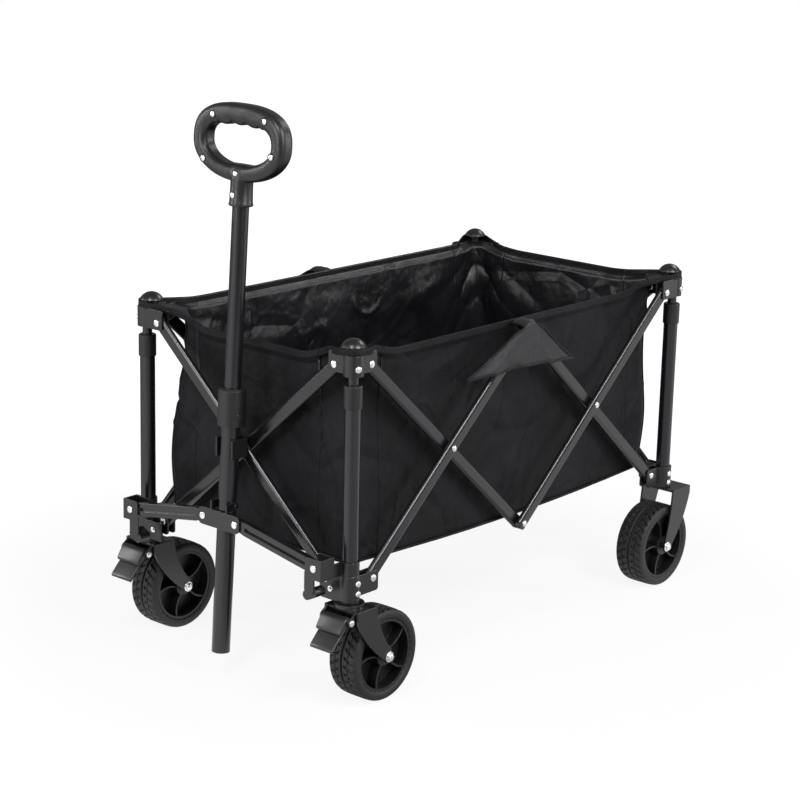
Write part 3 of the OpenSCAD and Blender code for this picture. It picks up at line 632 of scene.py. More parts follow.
def rounded_corner(radius, count):
    """The plan of the wall round the corner whose signs are both plus, and its outward directions.

    It is a straight run along the end, a quarter circle, and a straight run along the side."""
    a = np.linspace(0, np.pi / 2, 24)
    x_end, y_end = POST_X - CORNER_REACH, POST_Y - CORNER_REACH
    arc = np.stack([HALF_X - radius + radius * np.cos(a), HALF_Y - radius + radius * np.sin(a)], -1)
    plan = evenly(np.concatenate([[[HALF_X, y_end]], arc, [[x_end, HALF_Y]]]), count)
    past = np.clip((plan - [HALF_X - radius, HALF_Y - radius]) / radius, 0, 1)
    return plan, unit(past + 1e-9)


def corner_lines(fore, side, count):
    """The wall's plan at foot and rim, its outward directions and the hem's line round one corner post.

    The hem swings out on a smooth cubic from each wall and goes round the post on a quarter circle."""
    low_plan, out = rounded_corner(TURN_R, count)
    top_plan, _ = rounded_corner(TOP_TURN[fore], count)
    x_end, y_end = POST_X - CORNER_REACH, POST_Y - CORNER_REACH
    t, a = np.linspace(0, 1, 40), np.linspace(0, np.pi / 2, 24)
    swing = smooth_step(t)
    rim_x, rim_y = HALF_X + RIM_OUT, HALF_Y + RIM_OUT
    first = np.stack([rim_x + (CAP_MID[0] + WRAP_R - rim_x) * swing, y_end + (CAP_MID[1] - y_end) * t], -1)
    round_post = CAP_MID + WRAP_R * np.stack([np.cos(a), np.sin(a)], -1)
    last = np.stack([x_end + (CAP_MID[0] - x_end) * t, rim_y + (CAP_MID[1] + WRAP_R - rim_y) * swing], -1)
    loop = evenly(np.concatenate([first, round_post[1:-1], last[::-1]]), count)
    signs = np.array([fore, side])
    return low_plan * signs, top_plan * signs, out * signs, loop * signs


def corner_rim_z(fore, side, loop):
    """Height of the hem round a corner, which drops on each side as its own wall asks."""
    end_drop = RIM_DROP["front" if fore > 0 else "rear"]
    side_drop = RIM_DROP["left" if side > 0 else "right"]
    far_end = np.maximum(POST_Y - np.abs(loop[:, 1]), 0)
    far_side = np.maximum(POST_X - np.abs(loop[:, 0]), 0)
    return np.minimum(rim_z(far_end, end_drop), rim_z(far_side, side_drop))


def straight_lines(name, count):
    """The plan, outward directions and hem line of one straight wall between the corner pieces."""
    if name in ("left", "right"):
        s = 1 if name == "left" else -1
        x = np.linspace(POST_X - CORNER_REACH, CORNER_REACH - POST_X, count)
        plan = np.stack([x, np.full(count, s * HALF_Y)], -1)
        out = np.tile([0.0, s], (count, 1))
        rise = rim_z(POST_X - np.abs(x), RIM_DROP[name])
    else:
        s = 1 if name == "front" else -1
        y = np.linspace(POST_Y - CORNER_REACH, CORNER_REACH - POST_Y, count)
        plan = np.stack([np.full(count, s * HALF_X), y], -1)
        out = np.tile([s, 0.0], (count, 1))
        rise = rim_z(POST_Y - np.abs(y), RIM_DROP[name])
    return plan, out, plan + out * RIM_OUT, rise


def cloth_piece(name, points, coords, body, outward, squash=None, face="cloth"):
    """A sheet of cloth with a coated inner face, given its thickness inwards, riding on a body.

    The faces are turned over if the cross product of two steps of the grid doesn't point outward."""
    middle = points[points.shape[0] // 2, points.shape[1] // 3]
    step_u = points[points.shape[0] // 2 + 1, points.shape[1] // 3] - middle
    step_v = points[points.shape[0] // 2, points.shape[1] // 3 + 1] - middle
    facing = np.dot(np.cross(step_u, step_v), outward) > 0
    piece = Shell().add(points, coords, flip=not facing).make(name, [MATERIALS[face], MATERIALS["lining"]])
    solid = piece.modifiers.new("Thickness", "SOLIDIFY")
    solid.thickness, solid.offset = CLOTH_THICK, -1
    solid.material_offset = 1
    solid.use_rim = True
    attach(piece, body)
    if squash:
        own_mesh(piece)
    return piece


def wall_squash(name):
    """How a wall folds: the axis, the edge that stays, and the share of its length that is left."""
    if name in ("left", "right"):
        s = 1 if name == "left" else -1
        reach = POST_X - CORNER_REACH
        return (1, 0, 0), (reach, s * HALF_Y, 0.4), 1 - FOLD_X / (2 * reach)
    s = 1 if name == "front" else -1
    reach = POST_Y - CORNER_REACH
    return (0, 1, 0), (s * HALF_X, reach, 0.4), 1 - FOLD_Y / (2 * reach)


def trims(name, points, loop, rise, out):
    """Hem round the top and piping along the bottom seam of one stretch: sections carried along its edges."""
    settings = bpy.context.scene.wagon_fabric
    hem, thick = settings.hem, settings.hem_thick
    up = np.tile([0.0, 0.0, 1.0], (len(loop), 1))
    tangent = unit(np.gradient(loop, axis=0))
    sideways = np.stack([tangent[:, 1], -tangent[:, 0]], -1)
    sideways = sideways * np.sign((sideways * out).sum(-1, keepdims=True) + 1e-9)
    sideways = np.concatenate([sideways, np.zeros((len(loop), 1))], -1)
    middle = np.concatenate([loop, (rise - hem / 2 + 0.0004)[:, None]], -1)
    section = round_section(thick, hem + 0.0012, 3.4, 18)
    band = carried(middle, sideways, up, section)
    along = lengths_along(loop)
    along = np.concatenate([along[:1], along, along[-1:]])
    coords = np.stack(np.broadcast_arrays(along[:, None], section[None, :, 1]), -1)
    foot = points[:, 0]
    out3 = np.concatenate([out, np.zeros((len(out), 1))], -1)
    cord = carried(foot + out3 * 0.0006, out3, up, round_section(0.0046, 0.0052, 2.0, 10))
    # Cloth coordinates this far across carry no stitches.
    off_stitches = 0.02
    foot_coords = np.stack(np.broadcast_arrays(along[:, None], np.full((1, 10), off_stitches)), -1)
    piece = Shell().add(band, coords, close_v=True).add(cord, foot_coords, close_v=True).make(
        name, [MATERIALS["trim"]], closed=True)
    return piece


class WAGON_OT_walls(bpy.types.Operator):
    """Hang the four straight walls of the bag, with their hems and piping"""

    bl_idname = "wagon.walls"
    bl_label = "Bag walls"

    def execute(self, context):
        counts = {"left": 170, "right": 170, "front": 84, "rear": 84}
        for name, count in counts.items():
            plan, out, loop, rise = straight_lines(name, count)
            points, coords = wall_grid(plan, plan, out, loop, rise)
            squash = wall_squash(name)
            outward = np.array([*out[0], 0.0])
            wall = cloth_piece(f"wall_{name}", points, coords, WALL_BODY[name], outward, squash)
            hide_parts("bag")
            hem = trims(f"wall_trim_{name}", points, loop, rise, out)
            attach(hem, WALL_BODY[name])
            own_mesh(hem)
        return {"FINISHED"}


class WAGON_OT_corners(bpy.types.Operator):
    """Make the bag's corners, whose hems swing out and go round the posts under the caps"""

    bl_idname = "wagon.corners"
    bl_label = "Bag corners"

    def execute(self, context):
        for corner, (fore, side) in CORNERS.items():
            low_plan, top_plan, out, loop = corner_lines(fore, side, 84)
            rise = corner_rim_z(fore, side, loop)
            points, coords = wall_grid(low_plan, top_plan, out, loop, rise)
            outward = np.array([fore, side, 0.0])
            piece = cloth_piece(f"bag_corner_{corner}", points, coords, f"top_{corner}", outward)
            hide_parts("bag")
            hem = trims(f"corner_trim_{corner}", points, loop, rise, out)
            seam = points[len(points) // 2, :-PIPING_STOP]
            ahead = unit(np.tile([fore, side, 0.0], (len(seam), 1)))
            across = np.cross(ahead, [0, 0, 1.0])
            cord = carried(seam + ahead * 0.0008, ahead, across, round_section(0.0046, 0.0046, 2, 10))
            piping = Shell().add(cord, close_v=True).make(
                f"corner_piping_{corner}", [MATERIALS["trim"]], closed=True)
            for trim in (hem, piping):
                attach(trim, f"top_{corner}")
        return {"FINISHED"}


class WAGON_OT_floor(bpy.types.Operator):
    """Lay the bag's floor in two halves"""

    bl_idname = "wagon.floor"
    bl_label = "Bag floor"

    def execute(self, context):
        half_x, half_y = HALF_X - SEAM_IN, HALF_Y - SEAM_IN
        s = np.linspace(-1, 1, 150)
        x = half_x * np.sin(s * np.pi / 2)
        past = np.clip(np.abs(x) - (half_x - TURN_R), 0, TURN_R)
        edge = half_y - TURN_R + np.sqrt(np.maximum(TURN_R**2 - past**2, 0))
        t = np.linspace(0, 1, 50)
        for name, side, body in (("left", 1, "top_fl"), ("right", -1, "top_fr")):
            y = side * edge[:, None] * t[None, :]
            across = np.broadcast_to(x[:, None], y.shape)
            flat = np.stack([across, y, np.zeros_like(y)], -1)
            inside = (1 - t[None, :] ** 4) * (1 - (np.abs(x)[:, None] / HALF_X) ** 6)
            dents = 0.0035 * ripple(flat, 0.11, 71) + 0.003 * ripple(flat, 0.05, 73)
            z = floor_edge_z(across) - (0.004 - dents) * inside
            points = np.stack([across, y, z], -1)
            coords = np.stack([across, y], -1)
            squash = ((1, 0, 0), (HALF_X, side * HALF_Y, 0.22), 1 - FOLD_X / (2 * HALF_X))
            half = cloth_piece(f"bag_floor_{name}", points, coords, body, np.array([0, 0, -1.0]), squash)
        return {"FINISHED"}


class WAGON_OT_flaps(bpy.types.Operator):
    """Drape the flap that covers the middle top pivot on each side"""

    bl_idname = "wagon.flaps"
    bl_label = "Side flaps"

    def execute(self, context):
        width = context.scene.wagon_fabric.flap
        for name, side, body in (("left", 1, "top_fl"), ("right", -1, "top_fr")):
            points, coords = self.drape(side, width, RIM_DROP[name])
            squash = wall_squash(name)
            flap = cloth_piece(f"flap_{name}", points, coords, body, np.array([0, side, 0.3]), squash, "flap")
            edge = np.concatenate([points[0, :], points[1:-1, -1], points[-1, ::-1]])
            edge = evenly(edge, 150)
            tangent = unit(np.gradient(edge, axis=0))
            out = np.tile([0.0, side, 0.0], (len(edge), 1))
            across = unit(np.cross(tangent, out))
            over = unit(np.cross(across, tangent))
            rim = carried(edge, over, across, round_section(0.0032, 0.0052, 2.4, 10))
            binding = Shell().add(rim, close_v=True).make(
                f"flap_binding_{name}", [MATERIALS["trim"]], closed=True)
            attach(binding, body)
            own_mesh(binding)
        return {"FINISHED"}

    def drape(self, side, width, drop):
        """A flap from the hem out over the pivot and down outside the bars, its foot almost level.

        s runs from edge to edge and t from the hem to the foot. Past the pivot half the width grows as
        down^1.2. The flap hangs at out_y and stays outside bars_y, and skew moves its foot ahead. Shallow
        folds, the cosine of the angle about (fan_x, fan_z), fan out down it."""
        s = np.linspace(-1, 1, 71)[:, None]
        t = np.linspace(0, 1, 74)[None, :]
        over = smooth_step(t / 0.20)
        down = np.clip((t - 0.17) / 0.83, 0, 1)
        rim_y, out_y, bars_y = HALF_Y + RIM_OUT + 0.002, 0.2462, 0.2448
        top_z, foot_z = rim_z(POST_X, drop) - 0.001, 0.481
        skew, half_top, half_spread = 0.0265, 0.012, 0.0125
        half = half_top + half_spread * over + (width / 2 - (half_top + half_spread)) * down**1.2
        half = half * (1 - 0.35 * bell(down, 0, 0.035) * over)
        x = 0.007 + s * half + skew * down
        z = top_z + 0.004 * np.sin(np.pi * np.clip(t / 0.2, 0, 1)) + (foot_z - top_z) * down
        z = z + 0.0045 * s * down + 0.004 * (1 - s**2) * down**3 - 0.006 * s**2 * bell(down, 0, 0.12)
        y = rim_y + (out_y - rim_y) * over
        place = np.stack(np.broadcast_arrays(x, side * y, z), -1)
        fan_x, fan_z = 0.018, 0.59
        rays = np.cos(7 * np.arctan2(x - fan_x, fan_z - z)) * 0.0014 * down
        y = y + rays + 0.0018 * ripple(place, 0.06, 91) * down
        y = y + 0.0045 * down * (1 - s**2) * np.sin(np.pi * down)
        y = y + 0.0065 * down * bell(np.abs(s), 0.55, 0.24)
        y = np.where(down > 0.03, np.maximum(y, bars_y), y)
        points = np.stack(np.broadcast_arrays(x, side * y, z), -1)
        coords = np.stack(np.broadcast_arrays(x, z), -1)
        return points, coords


# ---- hard pieces ----

# Radius of the heads on the crossings, the posts and the pedal pins.
SMALL_HEAD = 0.0052
# How far an ear's two faces, a bar's face and a barrel's face lie from the post's middle line.
EAR_OUT, EAR_IN, BAR_FACE, BARREL_R = 0.0145, 0.0025, 0.0118, 0.0158
# The channels' front face, ahead of the posts.
CHANNEL_FACE = 0.0601
# How far the rivets in the upper brackets' barrels are turned from straight out to the side.
BARREL_TURN = math.radians(20)
# Half the width over a wheel's fork, and half the length of a pedal's pin.
FORK_HALF, PIN_HALF = 0.035, 0.0305


def dome(radius, height=0.0026):
    """Profile of a rivet head: a short wall, then a flattened dome that ends on the axis.

    The dome is (radius cos^0.8, sin), from the wall's top up to the height."""
    wall, sunk = 0.0008, 0.0004
    a = np.linspace(0, np.pi / 2, 7)
    rise = np.stack([radius * np.cos(a) ** 0.8, wall + (height - wall) * np.sin(a)], -1)
    rise[-1, 0] = 0.0
    return np.concatenate([[[0.0, -sunk], [radius, -sunk]], rise])


def cup_ring(inner, outer, height):
    """Profile of a low raised ring, whose top is half an oval: (half width cos, height sin)."""
    a = np.linspace(0, np.pi, 6)
    middle, half = (inner + outer) / 2, (outer - inner) / 2
    top = np.stack([middle + half * np.cos(a), height * np.sin(a)], -1)
    return np.concatenate([top, [[inner, -0.001], [outer, -0.001]]])


def rivet_places():
    """Each body's rivet heads as a list of (place, direction, radius).

    A corner's end bars and side bars lie outside (1) or inside (-1) of the post's middle line. The two pairs
    of signs in layers say which, for the end and the side, at the top and at the foot."""
    big = bpy.context.scene.wagon_metal.head
    layers = {"fl": ((-1, -1), (1, 1)), "fr": ((1, -1), (-1, 1)),
              "rl": ((-1, 1), (1, -1)), "rr": ((1, 1), (-1, -1))}
    heads = {}

    def add(body, place, way, radius=big):
        heads.setdefault(body, []).append((np.array(place, float), np.array(way, float), radius))

    for corner, (fx, sy) in CORNERS.items():
        for part, z, lays in (("top", TOP_Z, layers[corner][0]), ("corner", LOW_Z, layers[corner][1])):
            body = f"{part}_{corner}"
            for lay, way in zip(lays, ("end", "side")):
                outer, inner = (EAR_OUT, -EAR_IN) if lay > 0 else (EAR_IN, -EAR_OUT)
                for face, sign in ((outer, 1), (inner, -1)):
                    if way == "end":
                        add(body, (fx * (POST_X + face), sy * (POST_Y - INSET), z), (fx * sign, 0, 0))
                    else:
                        add(body, (fx * (POST_X - INSET), sy * (POST_Y + face), z), (0, sy * sign, 0))
            if part == "top":
                way = np.array([fx * math.sin(BARREL_TURN), sy * math.cos(BARREL_TURN), 0.0])
                add(body, np.array([fx * POST_X, sy * POST_Y, z + 0.001]) + BARREL_R * way, way, SMALL_HEAD)
            else:
                for down in (0.001, 0.0175):
                    place = (fx * (POST_X - 0.002), sy * (POST_Y + 0.0160), z - down)
                    add(body, place, (0, sy, 0), SMALL_HEAD)
                if fx > 0:
                    add(body, (POST_X + EAR_OUT, sy * (POST_Y - 0.027), z - 0.0145), (1, 0, 0), SMALL_HEAD)
                    add(body, (POST_X + CHANNEL_FACE, sy * (POST_Y - 0.021), z + 0.030), (1, 0, 0))
    crossings = (("front_up", CROSS_X, MID_Z), ("front_up", 0, TOP_Z),
                 ("rear_down", -CROSS_X, MID_Z), ("rear_down", 0, LOW_Z))
    for name, s in (("left", 1), ("right", -1)):
        for bar, x, z in crossings:
            for sign in (1, -1):
                add(f"{name}_{bar}", (x, s * (POST_Y + sign * BAR_FACE), z), (0, s * sign, 0), SMALL_HEAD)
    for sign in (1, -1):
        add("rear_to_left", (-POST_X + sign * BAR_FACE, 0, MID_Z), (sign, 0, 0), SMALL_HEAD)
    for y in (0.036, -0.036):
        add("link_bracket", (POST_X + CHANNEL_FACE, y, LOW_Z + 0.060), (1, 0, 0))
    return heads


class WAGON_OT_rivets(bpy.types.Operator):
    """Set domed, plated heads on every rivet of the frame"""

    bl_idname = "wagon.rivets"
    bl_label = "Rivet heads"

    def execute(self, context):
        for body, heads in rivet_places().items():
            shell = Shell()
            for place, way, radius in heads:
                shell.add(turned(dome(radius), place, way, 20), close_u=True)
            made = shell.make(f"rivets_{body}", [MATERIALS["rivet"]], closed=True, angle=50)
            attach(made, body)
        return {"FINISHED"}


def axle_nut():
    """Profile of a domed axle nut with a washer under it."""
    washer = [(0, -0.001), (0.0086, -0.001), (0.0088, 0.0004), (0.0084, 0.0010)]
    nut = [(0.0066, 0.0011), (0.0064, 0.0030), (0.0054, 0.0046), (0.0034, 0.0056), (0.0015, 0.0060)]
    return washer + nut + [(0, 0.0061)]


def smooth_loop(points, count):
    """A closed Catmull-Rom curve through the points, read at count places."""
    points = np.array(points, float)
    t = np.linspace(0, len(points), count, endpoint=False)
    k = t.astype(int)
    f = (t - k)[:, None]
    a, b, c, d = (points[(k + step) % len(points)] for step in (-1, 0, 1, 2))
    return 0.5 * (2 * b + (c - a) * f + (2 * a - 5 * b + 4 * c - d) * f**2 + (3 * b - a - 3 * c + d) * f**3)


def pressed_slab(outline, width, turn):
    """An outline of (ahead, up) points drawn out to a width across, with rims rounded to the radius turn.

    Near each rim the outline moves in along its own normals by turn * (1 - cos). Each side is closed by a
    ring drawn together to one point."""
    along = np.roll(outline, -1, 0) - np.roll(outline, 1, 0)
    inwards = unit(np.stack([-along[:, 1], along[:, 0]], -1))
    if (inwards * (outline - outline.mean(0))).sum() > 0:
        inwards = -inwards
    a = np.linspace(0, np.pi / 2, 6)
    rim = np.stack([width / 2 - turn + turn * np.sin(a), turn * (1 - np.cos(a))], -1)
    steps = np.concatenate([rim[::-1] * [-1, 1], rim])
    rings = outline[None] + inwards[None] * steps[:, None, 1:]
    rings = np.concatenate([np.broadcast_to(rings[0].mean(0), (1, *outline.shape)), rings,
                            np.broadcast_to(rings[-1].mean(0), (1, *outline.shape))])
    across = np.concatenate([steps[:1, 0], steps[:, 0], steps[-1:, 0]])
    across = np.broadcast_to(across[:, None], rings.shape[:2])
    return np.stack([rings[..., 0], across, rings[..., 1]], -1)


class WAGON_OT_pedals(bpy.types.Operator):
    """Press the brake pedals: a raised pad over a thin lip that curls down and forwards"""

    bl_idname = "wagon.pedals"
    bl_label = "Brake pedals"

    def execute(self, context):
        millimetres = 1000
        pad = smooth_loop([(-2, 6.5), (4, 8.2), (9, 5.5), (15, -2.5), (20, -10.5),
                           (21, -14.5), (18.5, -17.2), (12, -12), (3, -5), (-3, 0)], 60) / millimetres
        lip = smooth_loop([(0, -6), (7, -8.5), (15, -16), (23, -24), (30, -31.5), (35.5, -38), (35.5, -41.5),
                           (33.5, -42.5), (31, -39), (23, -29.5), (14, -20.5), (5, -12.5), (-1, -9)],
                          78) / millimetres
        for corner in ("fl", "fr"):
            pin = joint_place(f"pedal_{corner}_press")
            low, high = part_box(f"brake_pedal_{corner}")
            width = high[1] - low[1]
            shell = Shell()
            shell.add(pin + pressed_slab(pad, width - 0.002, 0.0022), close_v=True)
            shell.add(pin + pressed_slab(lip, width - 0.006, 0.0016), close_v=True)
            end, r, bevel = width / 2, 0.0064, 0.0009
            barrel = [(0, -end), (r - bevel, -end), (r, 0.001 - end),
                      (r, end - 0.001), (r - bevel, end), (0, end)]
            shell.add(turned(barrel, pin, (0, 1, 0), 36), close_u=True)
            made = shell.make(f"pedal_{corner}_pads", [MATERIALS["pedal"]], closed=True, angle=50)
            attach(made, f"pedal_{corner}")
            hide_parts(f"brake_pedal_{corner}")
        return {"FINISHED"}


class WAGON_OT_axles(bpy.types.Operator):
    """Fit washers and domed nuts to the ends of the axles and pedal pins"""

    bl_idname = "wagon.axles"
    bl_label = "Axle nuts"

    def execute(self, context):
        for corner, (fx, _) in CORNERS.items():
            place = joint_place(f"wheel_{corner}_spin")
            shell = Shell()
            for way in (1, -1):
                face = (place[0], place[1] + way * FORK_HALF, place[2])
                shell.add(turned(axle_nut(), face, (0, way, 0), 28), close_u=True)
            if fx > 0:
                pin = joint_place(f"pedal_{corner}_press")
                for way in (1, -1):
                    face = (pin[0], pin[1] + way * PIN_HALF, pin[2])
                    shell.add(turned(dome(SMALL_HEAD), face, (0, way, 0), 20), close_u=True)
            made = shell.make(f"axle_nuts_{corner}", [MATERIALS["rivet"]], closed=True, angle=40)
            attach(made, f"caster_{corner}" if fx > 0 else f"corner_{corner}")
        return {"FINISHED"}


def on_handle(across, height, ahead):
    """Points of the leaning handle: foot + along * UP_HANDLE + ahead * AHEAD_HANDLE + across * Y.

    A height is measured as if the handle stood upright on its tilt pivot."""
    across, height, ahead = np.broadcast_arrays(across, height, ahead)
    foot = np.array([TILT[0], 0.0, TILT[2]])
    return (foot + (height - TILT[2])[..., None] * UP_HANDLE + ahead[..., None] * AHEAD_HANDLE
            + across[..., None] * np.array([0.0, 1.0, 0.0]))


# The ring's middle above the ground, half its width and height, and its thickness.
GRIP_Z, GRIP_HALF_W, GRIP_HALF_H, GRIP_THICK = 0.862, 0.098, 0.0605, 0.031
# How wide the ring's bar is at the sides, the top and the foot.
RING_SIDE, RING_TOP, RING_FOOT = 0.0275, 0.029, 0.0265
# How far the ring sits to the side, and the foot of the neck.
GRIP_SIDE = -0.003
NECK_Z = GRIP_Z - 0.097
# Places of the screws across and up from the ring's middle, and the height under which they lie on the neck.
SCREWS = ((0.060, 0.039), (-0.052, 0.039), (0.077, -0.013), (-0.069, -0.031),
          (0.003, -0.047), (0.001, -0.080))
NECK_TOP = -0.05


def egg(a, half_w, up, down):
    """An oval (w cos^p, h sin^p). p is smaller in the upper half, which makes its corners squarer."""
    c, s = np.cos(a), np.sin(a)
    p = np.where(s > 0, 0.76, 0.96)
    return half_w * signed_power(c, p), np.where(s > 0, up, down) * signed_power(s, p)


class WAGON_OT_grip(bpy.types.Operator):
    """Mould the ring grip with finger waves, its neck, the joint line of its two halves and its screws"""

    bl_idname = "wagon.grip"
    bl_label = "Ring grip"

    def execute(self, context):
        shell = Shell()
        shell.add(self.ring(), close_u=True, close_v=True)
        shell.add(self.neck(), close_u=True)
        grip = shell.make("grip_shell", [MATERIALS["grip"]], closed=True)
        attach(grip, "handle_upper")
        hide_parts("grip_front", "grip_rear")
        screws, cups = Shell(), Shell()
        head, seat = 0.0047, 0.0068
        for across, up in SCREWS:
            ahead = GRIP_THICK / 2 - 0.0004 if up > NECK_TOP else 0.0170
            place = on_handle(GRIP_SIDE + across, GRIP_Z + up, ahead)
            screws.add(turned(dome(head, 0.0022), place, AHEAD_HANDLE, 20), close_u=True)
            cup = turned(cup_ring(head, seat, 0.0012), place, AHEAD_HANDLE, 24)
            cups.add(cup, close_u=True, close_v=True)
        collars = cups.make("grip_screw_seats", [MATERIALS["hub"]], closed=True)
        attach(collars, "handle_upper")
        made = screws.make("grip_screws", [MATERIALS["rivet"]], closed=True, angle=50)
        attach(made, "handle_upper")
        return {"FINISHED"}

    def ring(self):
        """The ring: at angle a, a rounded section from the hole's edge to the outer edge.

        Waves of |cos|^0.8 stand out under the top bar, and a shallow groove runs round the section."""
        a = np.linspace(0, 2 * np.pi, 220, endpoint=False)
        outer = np.stack(egg(a, GRIP_HALF_W, GRIP_HALF_H, GRIP_HALF_H), -1)
        inner = np.stack(egg(a, GRIP_HALF_W - RING_SIDE, GRIP_HALF_H - RING_TOP, GRIP_HALF_H - RING_FOOT), -1)
        over = smooth_step((inner[:, 1] - 0.008) / 0.012) * smooth_step((0.054 - np.abs(inner[:, 0])) / 0.010)
        wave_depth, wave_pitch = 0.0052, 0.0286
        inner[:, 1] -= wave_depth * np.abs(np.cos(inner[:, 0] * np.pi / wave_pitch)) ** 0.8 * over
        middle, reach = (outer + inner) / 2, (outer - inner) / 2
        b = np.linspace(0, 2 * np.pi, 48, endpoint=False)
        c, s = signed_power(np.cos(b), 0.80), signed_power(np.sin(b), 0.62)
        groove = 1 - 0.045 * bell(np.sin(b), 0, 0.07)
        flat = middle[:, None] + reach[:, None] * (c * groove)[None, :, None]
        ahead = np.broadcast_to(GRIP_THICK / 2 * s[None], flat.shape[:2])
        return on_handle(GRIP_SIDE + flat[..., 0], GRIP_Z + flat[..., 1], ahead)

    def neck(self):
        """The neck: ovals (wide cos, deep sin) stacked up the handle, each as (height, wide, deep).

        It has a lip at the foot, and widens where it meets the ring."""
        lip = [(0, 0.0135, 0.0135), (0, 0.0182, 0.0182), (0.0012, 0.0192, 0.0192), (0.004, 0.0192, 0.0192)]
        shaft = [(0.0055, 0.0184, 0.0184), (0.03, 0.0178, 0.0176), (0.040, 0.0184, 0.0174)]
        flare = [(0.046, 0.0198, 0.0172), (0.051, 0.0225, 0.0166), (0.0555, 0.0265, 0.0155),
                 (0.060, 0.032, 0.0135), (0.064, 0.036, 0.011), (0.064, 0, 0)]
        height, wide, deep = np.array(lip + shaft + flare).T
        a = np.linspace(0, 2 * np.pi, 56, endpoint=False)[:, None]
        return on_handle(wide * np.cos(a), NECK_Z + height, deep * np.sin(a))


class WAGON_OT_tyres(bpy.types.Operator):
    """Mould the tyres with a centre groove, tread blocks and a bead"""

    bl_idname = "wagon.tyres"
    bl_label = "Tyres"

    def execute(self, context):
        for corner in CORNERS:
            tyre = Shell().add(self.tread(joint_place(f"wheel_{corner}_spin")), close_u=True, close_v=True)
            made = tyre.make(f"tyre_{corner}_tread", [MATERIALS["rubber"]], closed=True, angle=38)
            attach(made, f"wheel_{corner}")
            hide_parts(f"tyre_{corner}")
        return {"FINISHED"}

    def tread(self, place):
        """The tyre: a profile of (across, depth) points turned round the axle, its radius cut by grooves.

        A groove runs round the middle and two more beside it, and slanting slots part the blocks. across goes
        from -1 to 1 over the width, and depth is how far a point lies under the tread."""
        settings = bpy.context.scene.wagon_plastic
        low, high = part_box("tyre_fl")
        half = (high[1] - low[1]) / 2
        radius = (high[2] - low[2]) / 2
        inside = radius - 0.0160
        wall = np.array([[0.91, 0.0017], [0.965, 0.0036], [0.995, 0.0065], [1.0, 0.0092],
                         [0.985, 0.0125], [0.93, 0.0150], [0.86, 0.0158]])
        crown = np.linspace(-1, 1, 53)
        across = np.concatenate([-wall[::-1, 0], 0.85 * crown, wall[:, 0]])
        depth = np.concatenate([wall[::-1, 1], 0.0009 * crown**4, wall[:, 1]])
        count = settings.blocks * 12
        turn = np.linspace(0, 2 * np.pi, count, endpoint=False)[:, None]
        y = across[None, :]
        block = (turn / (2 * np.pi) * settings.blocks + np.abs(y) * 1.1 + (y > 0) * 0.5) % 1.0
        slot = smooth_step((0.17 - np.abs(block - 0.5)) / 0.05) * smooth_step((np.abs(y) - 0.16) / 0.03)
        slot = slot * smooth_step((0.90 - np.abs(y)) / 0.05)
        from_side_ring = np.abs(np.abs(y) - 0.46)
        slot = slot * (1 - 0.65 * smooth_step((0.05 - from_side_ring) / 0.03))
        rings = smooth_step((0.075 - np.abs(y)) / 0.02) + 0.8 * smooth_step((0.035 - from_side_ring) / 0.02)
        cut = np.maximum(slot * 0.85, np.clip(rings, 0, 1)) * settings.groove
        r = radius - depth[None] - cut * (np.abs(y) < 0.97)
        inner = np.full((count, 3), inside)
        inner_y = np.broadcast_to(np.array([[0.80, 0.0, -0.80]]), (count, 3))
        r = np.concatenate([r, inner], 1)
        y = np.concatenate([np.broadcast_to(y, (count, y.shape[1])), inner_y], 1)
        return np.stack([place[0] + r * np.cos(turn), place[1] + y * half, place[2] + r * np.sin(turn)], -1)


class WAGON_OT_finishes(bpy.types.Operator):
    """Mix the finishes and put one on each CAD piece"""

    bl_idname = "wagon.finishes"
    bl_label = "Finishes"

    def execute(self, context):
        scene = context.scene
        cloth, metal, plastic = scene.wagon_fabric, scene.wagon_metal, scene.wagon_plastic
        MATERIALS.update(
            cloth=woven("bag_cloth", cloth.colour, 0.46, cloth.pitch, crush=0.007, gloss=0.13),
            # The flap's cloth is the bag's cloth made 2.1 times as light: painted light for the flap, which faces
            # up towards the lamps.
            flap=woven("flap_cloth", shade(cloth.colour, 2.1), 0.38, cloth.pitch, crush=0.005, gloss=0.4),
            lining=woven("bag_lining", cloth.lining, 0.27, cloth.pitch, weave=0.2, crush=0.004, gloss=0.45),
            trim=woven("bag_trim", cloth.trim, 0.36, cloth.pitch, weave=0.6, crush=0.001, gloss=0.15,
                       stitched=True),
            # edge is the painted highlight on rounded edges: how many times as light they are drawn.
            tube=powder_coat("tube_coat", metal.tube, 0.19, edge=5.0),
            bracket=powder_coat("bracket_coat", metal.bracket, 0.30, edge=5.0),
            fork=powder_coat("fork_coat", metal.bracket, 0.28, edge=5.0),
            pedal=powder_coat("pedal_coat", metal.pedal, 0.30, edge=1.8, radius=0.001),
            rivet=bare_metal("rivet_plating", metal.rivet, 0.30),
            plastic=moulded_plastic("trim_plastic", plastic.trim, 0.42),
            grip=moulded_plastic("grip_plastic", plastic.grip, 0.36),
            hub=moulded_plastic("hub_plastic", plastic.hub, 0.42, grain=1800),
            rubber=tyre_rubber("tyre_rubber", plastic.rubber, 0.58),
        )
        by_slot = {"tube_metal": "tube", "bracket_metal": "bracket", "fork_metal": "fork",
                   "pedal_metal": "pedal", "trim_plastic": "plastic", "grip_plastic": "grip",
                   "wheel_plastic": "hub", "tyre_rubber": "rubber", "bag_fabric": "cloth"}
        slots = {s["node"]: s["material_slot"] for s in frame["record"]["subparts"]}
        for name, node in frame["nodes"].items():
            finish = MATERIALS[by_slot[slots[name]]]
            if not node.material_slots:
                node.data.materials.append(finish)
            for place in node.material_slots:
                place.material = finish
        return {"FINISHED"}


# ---- stage ----

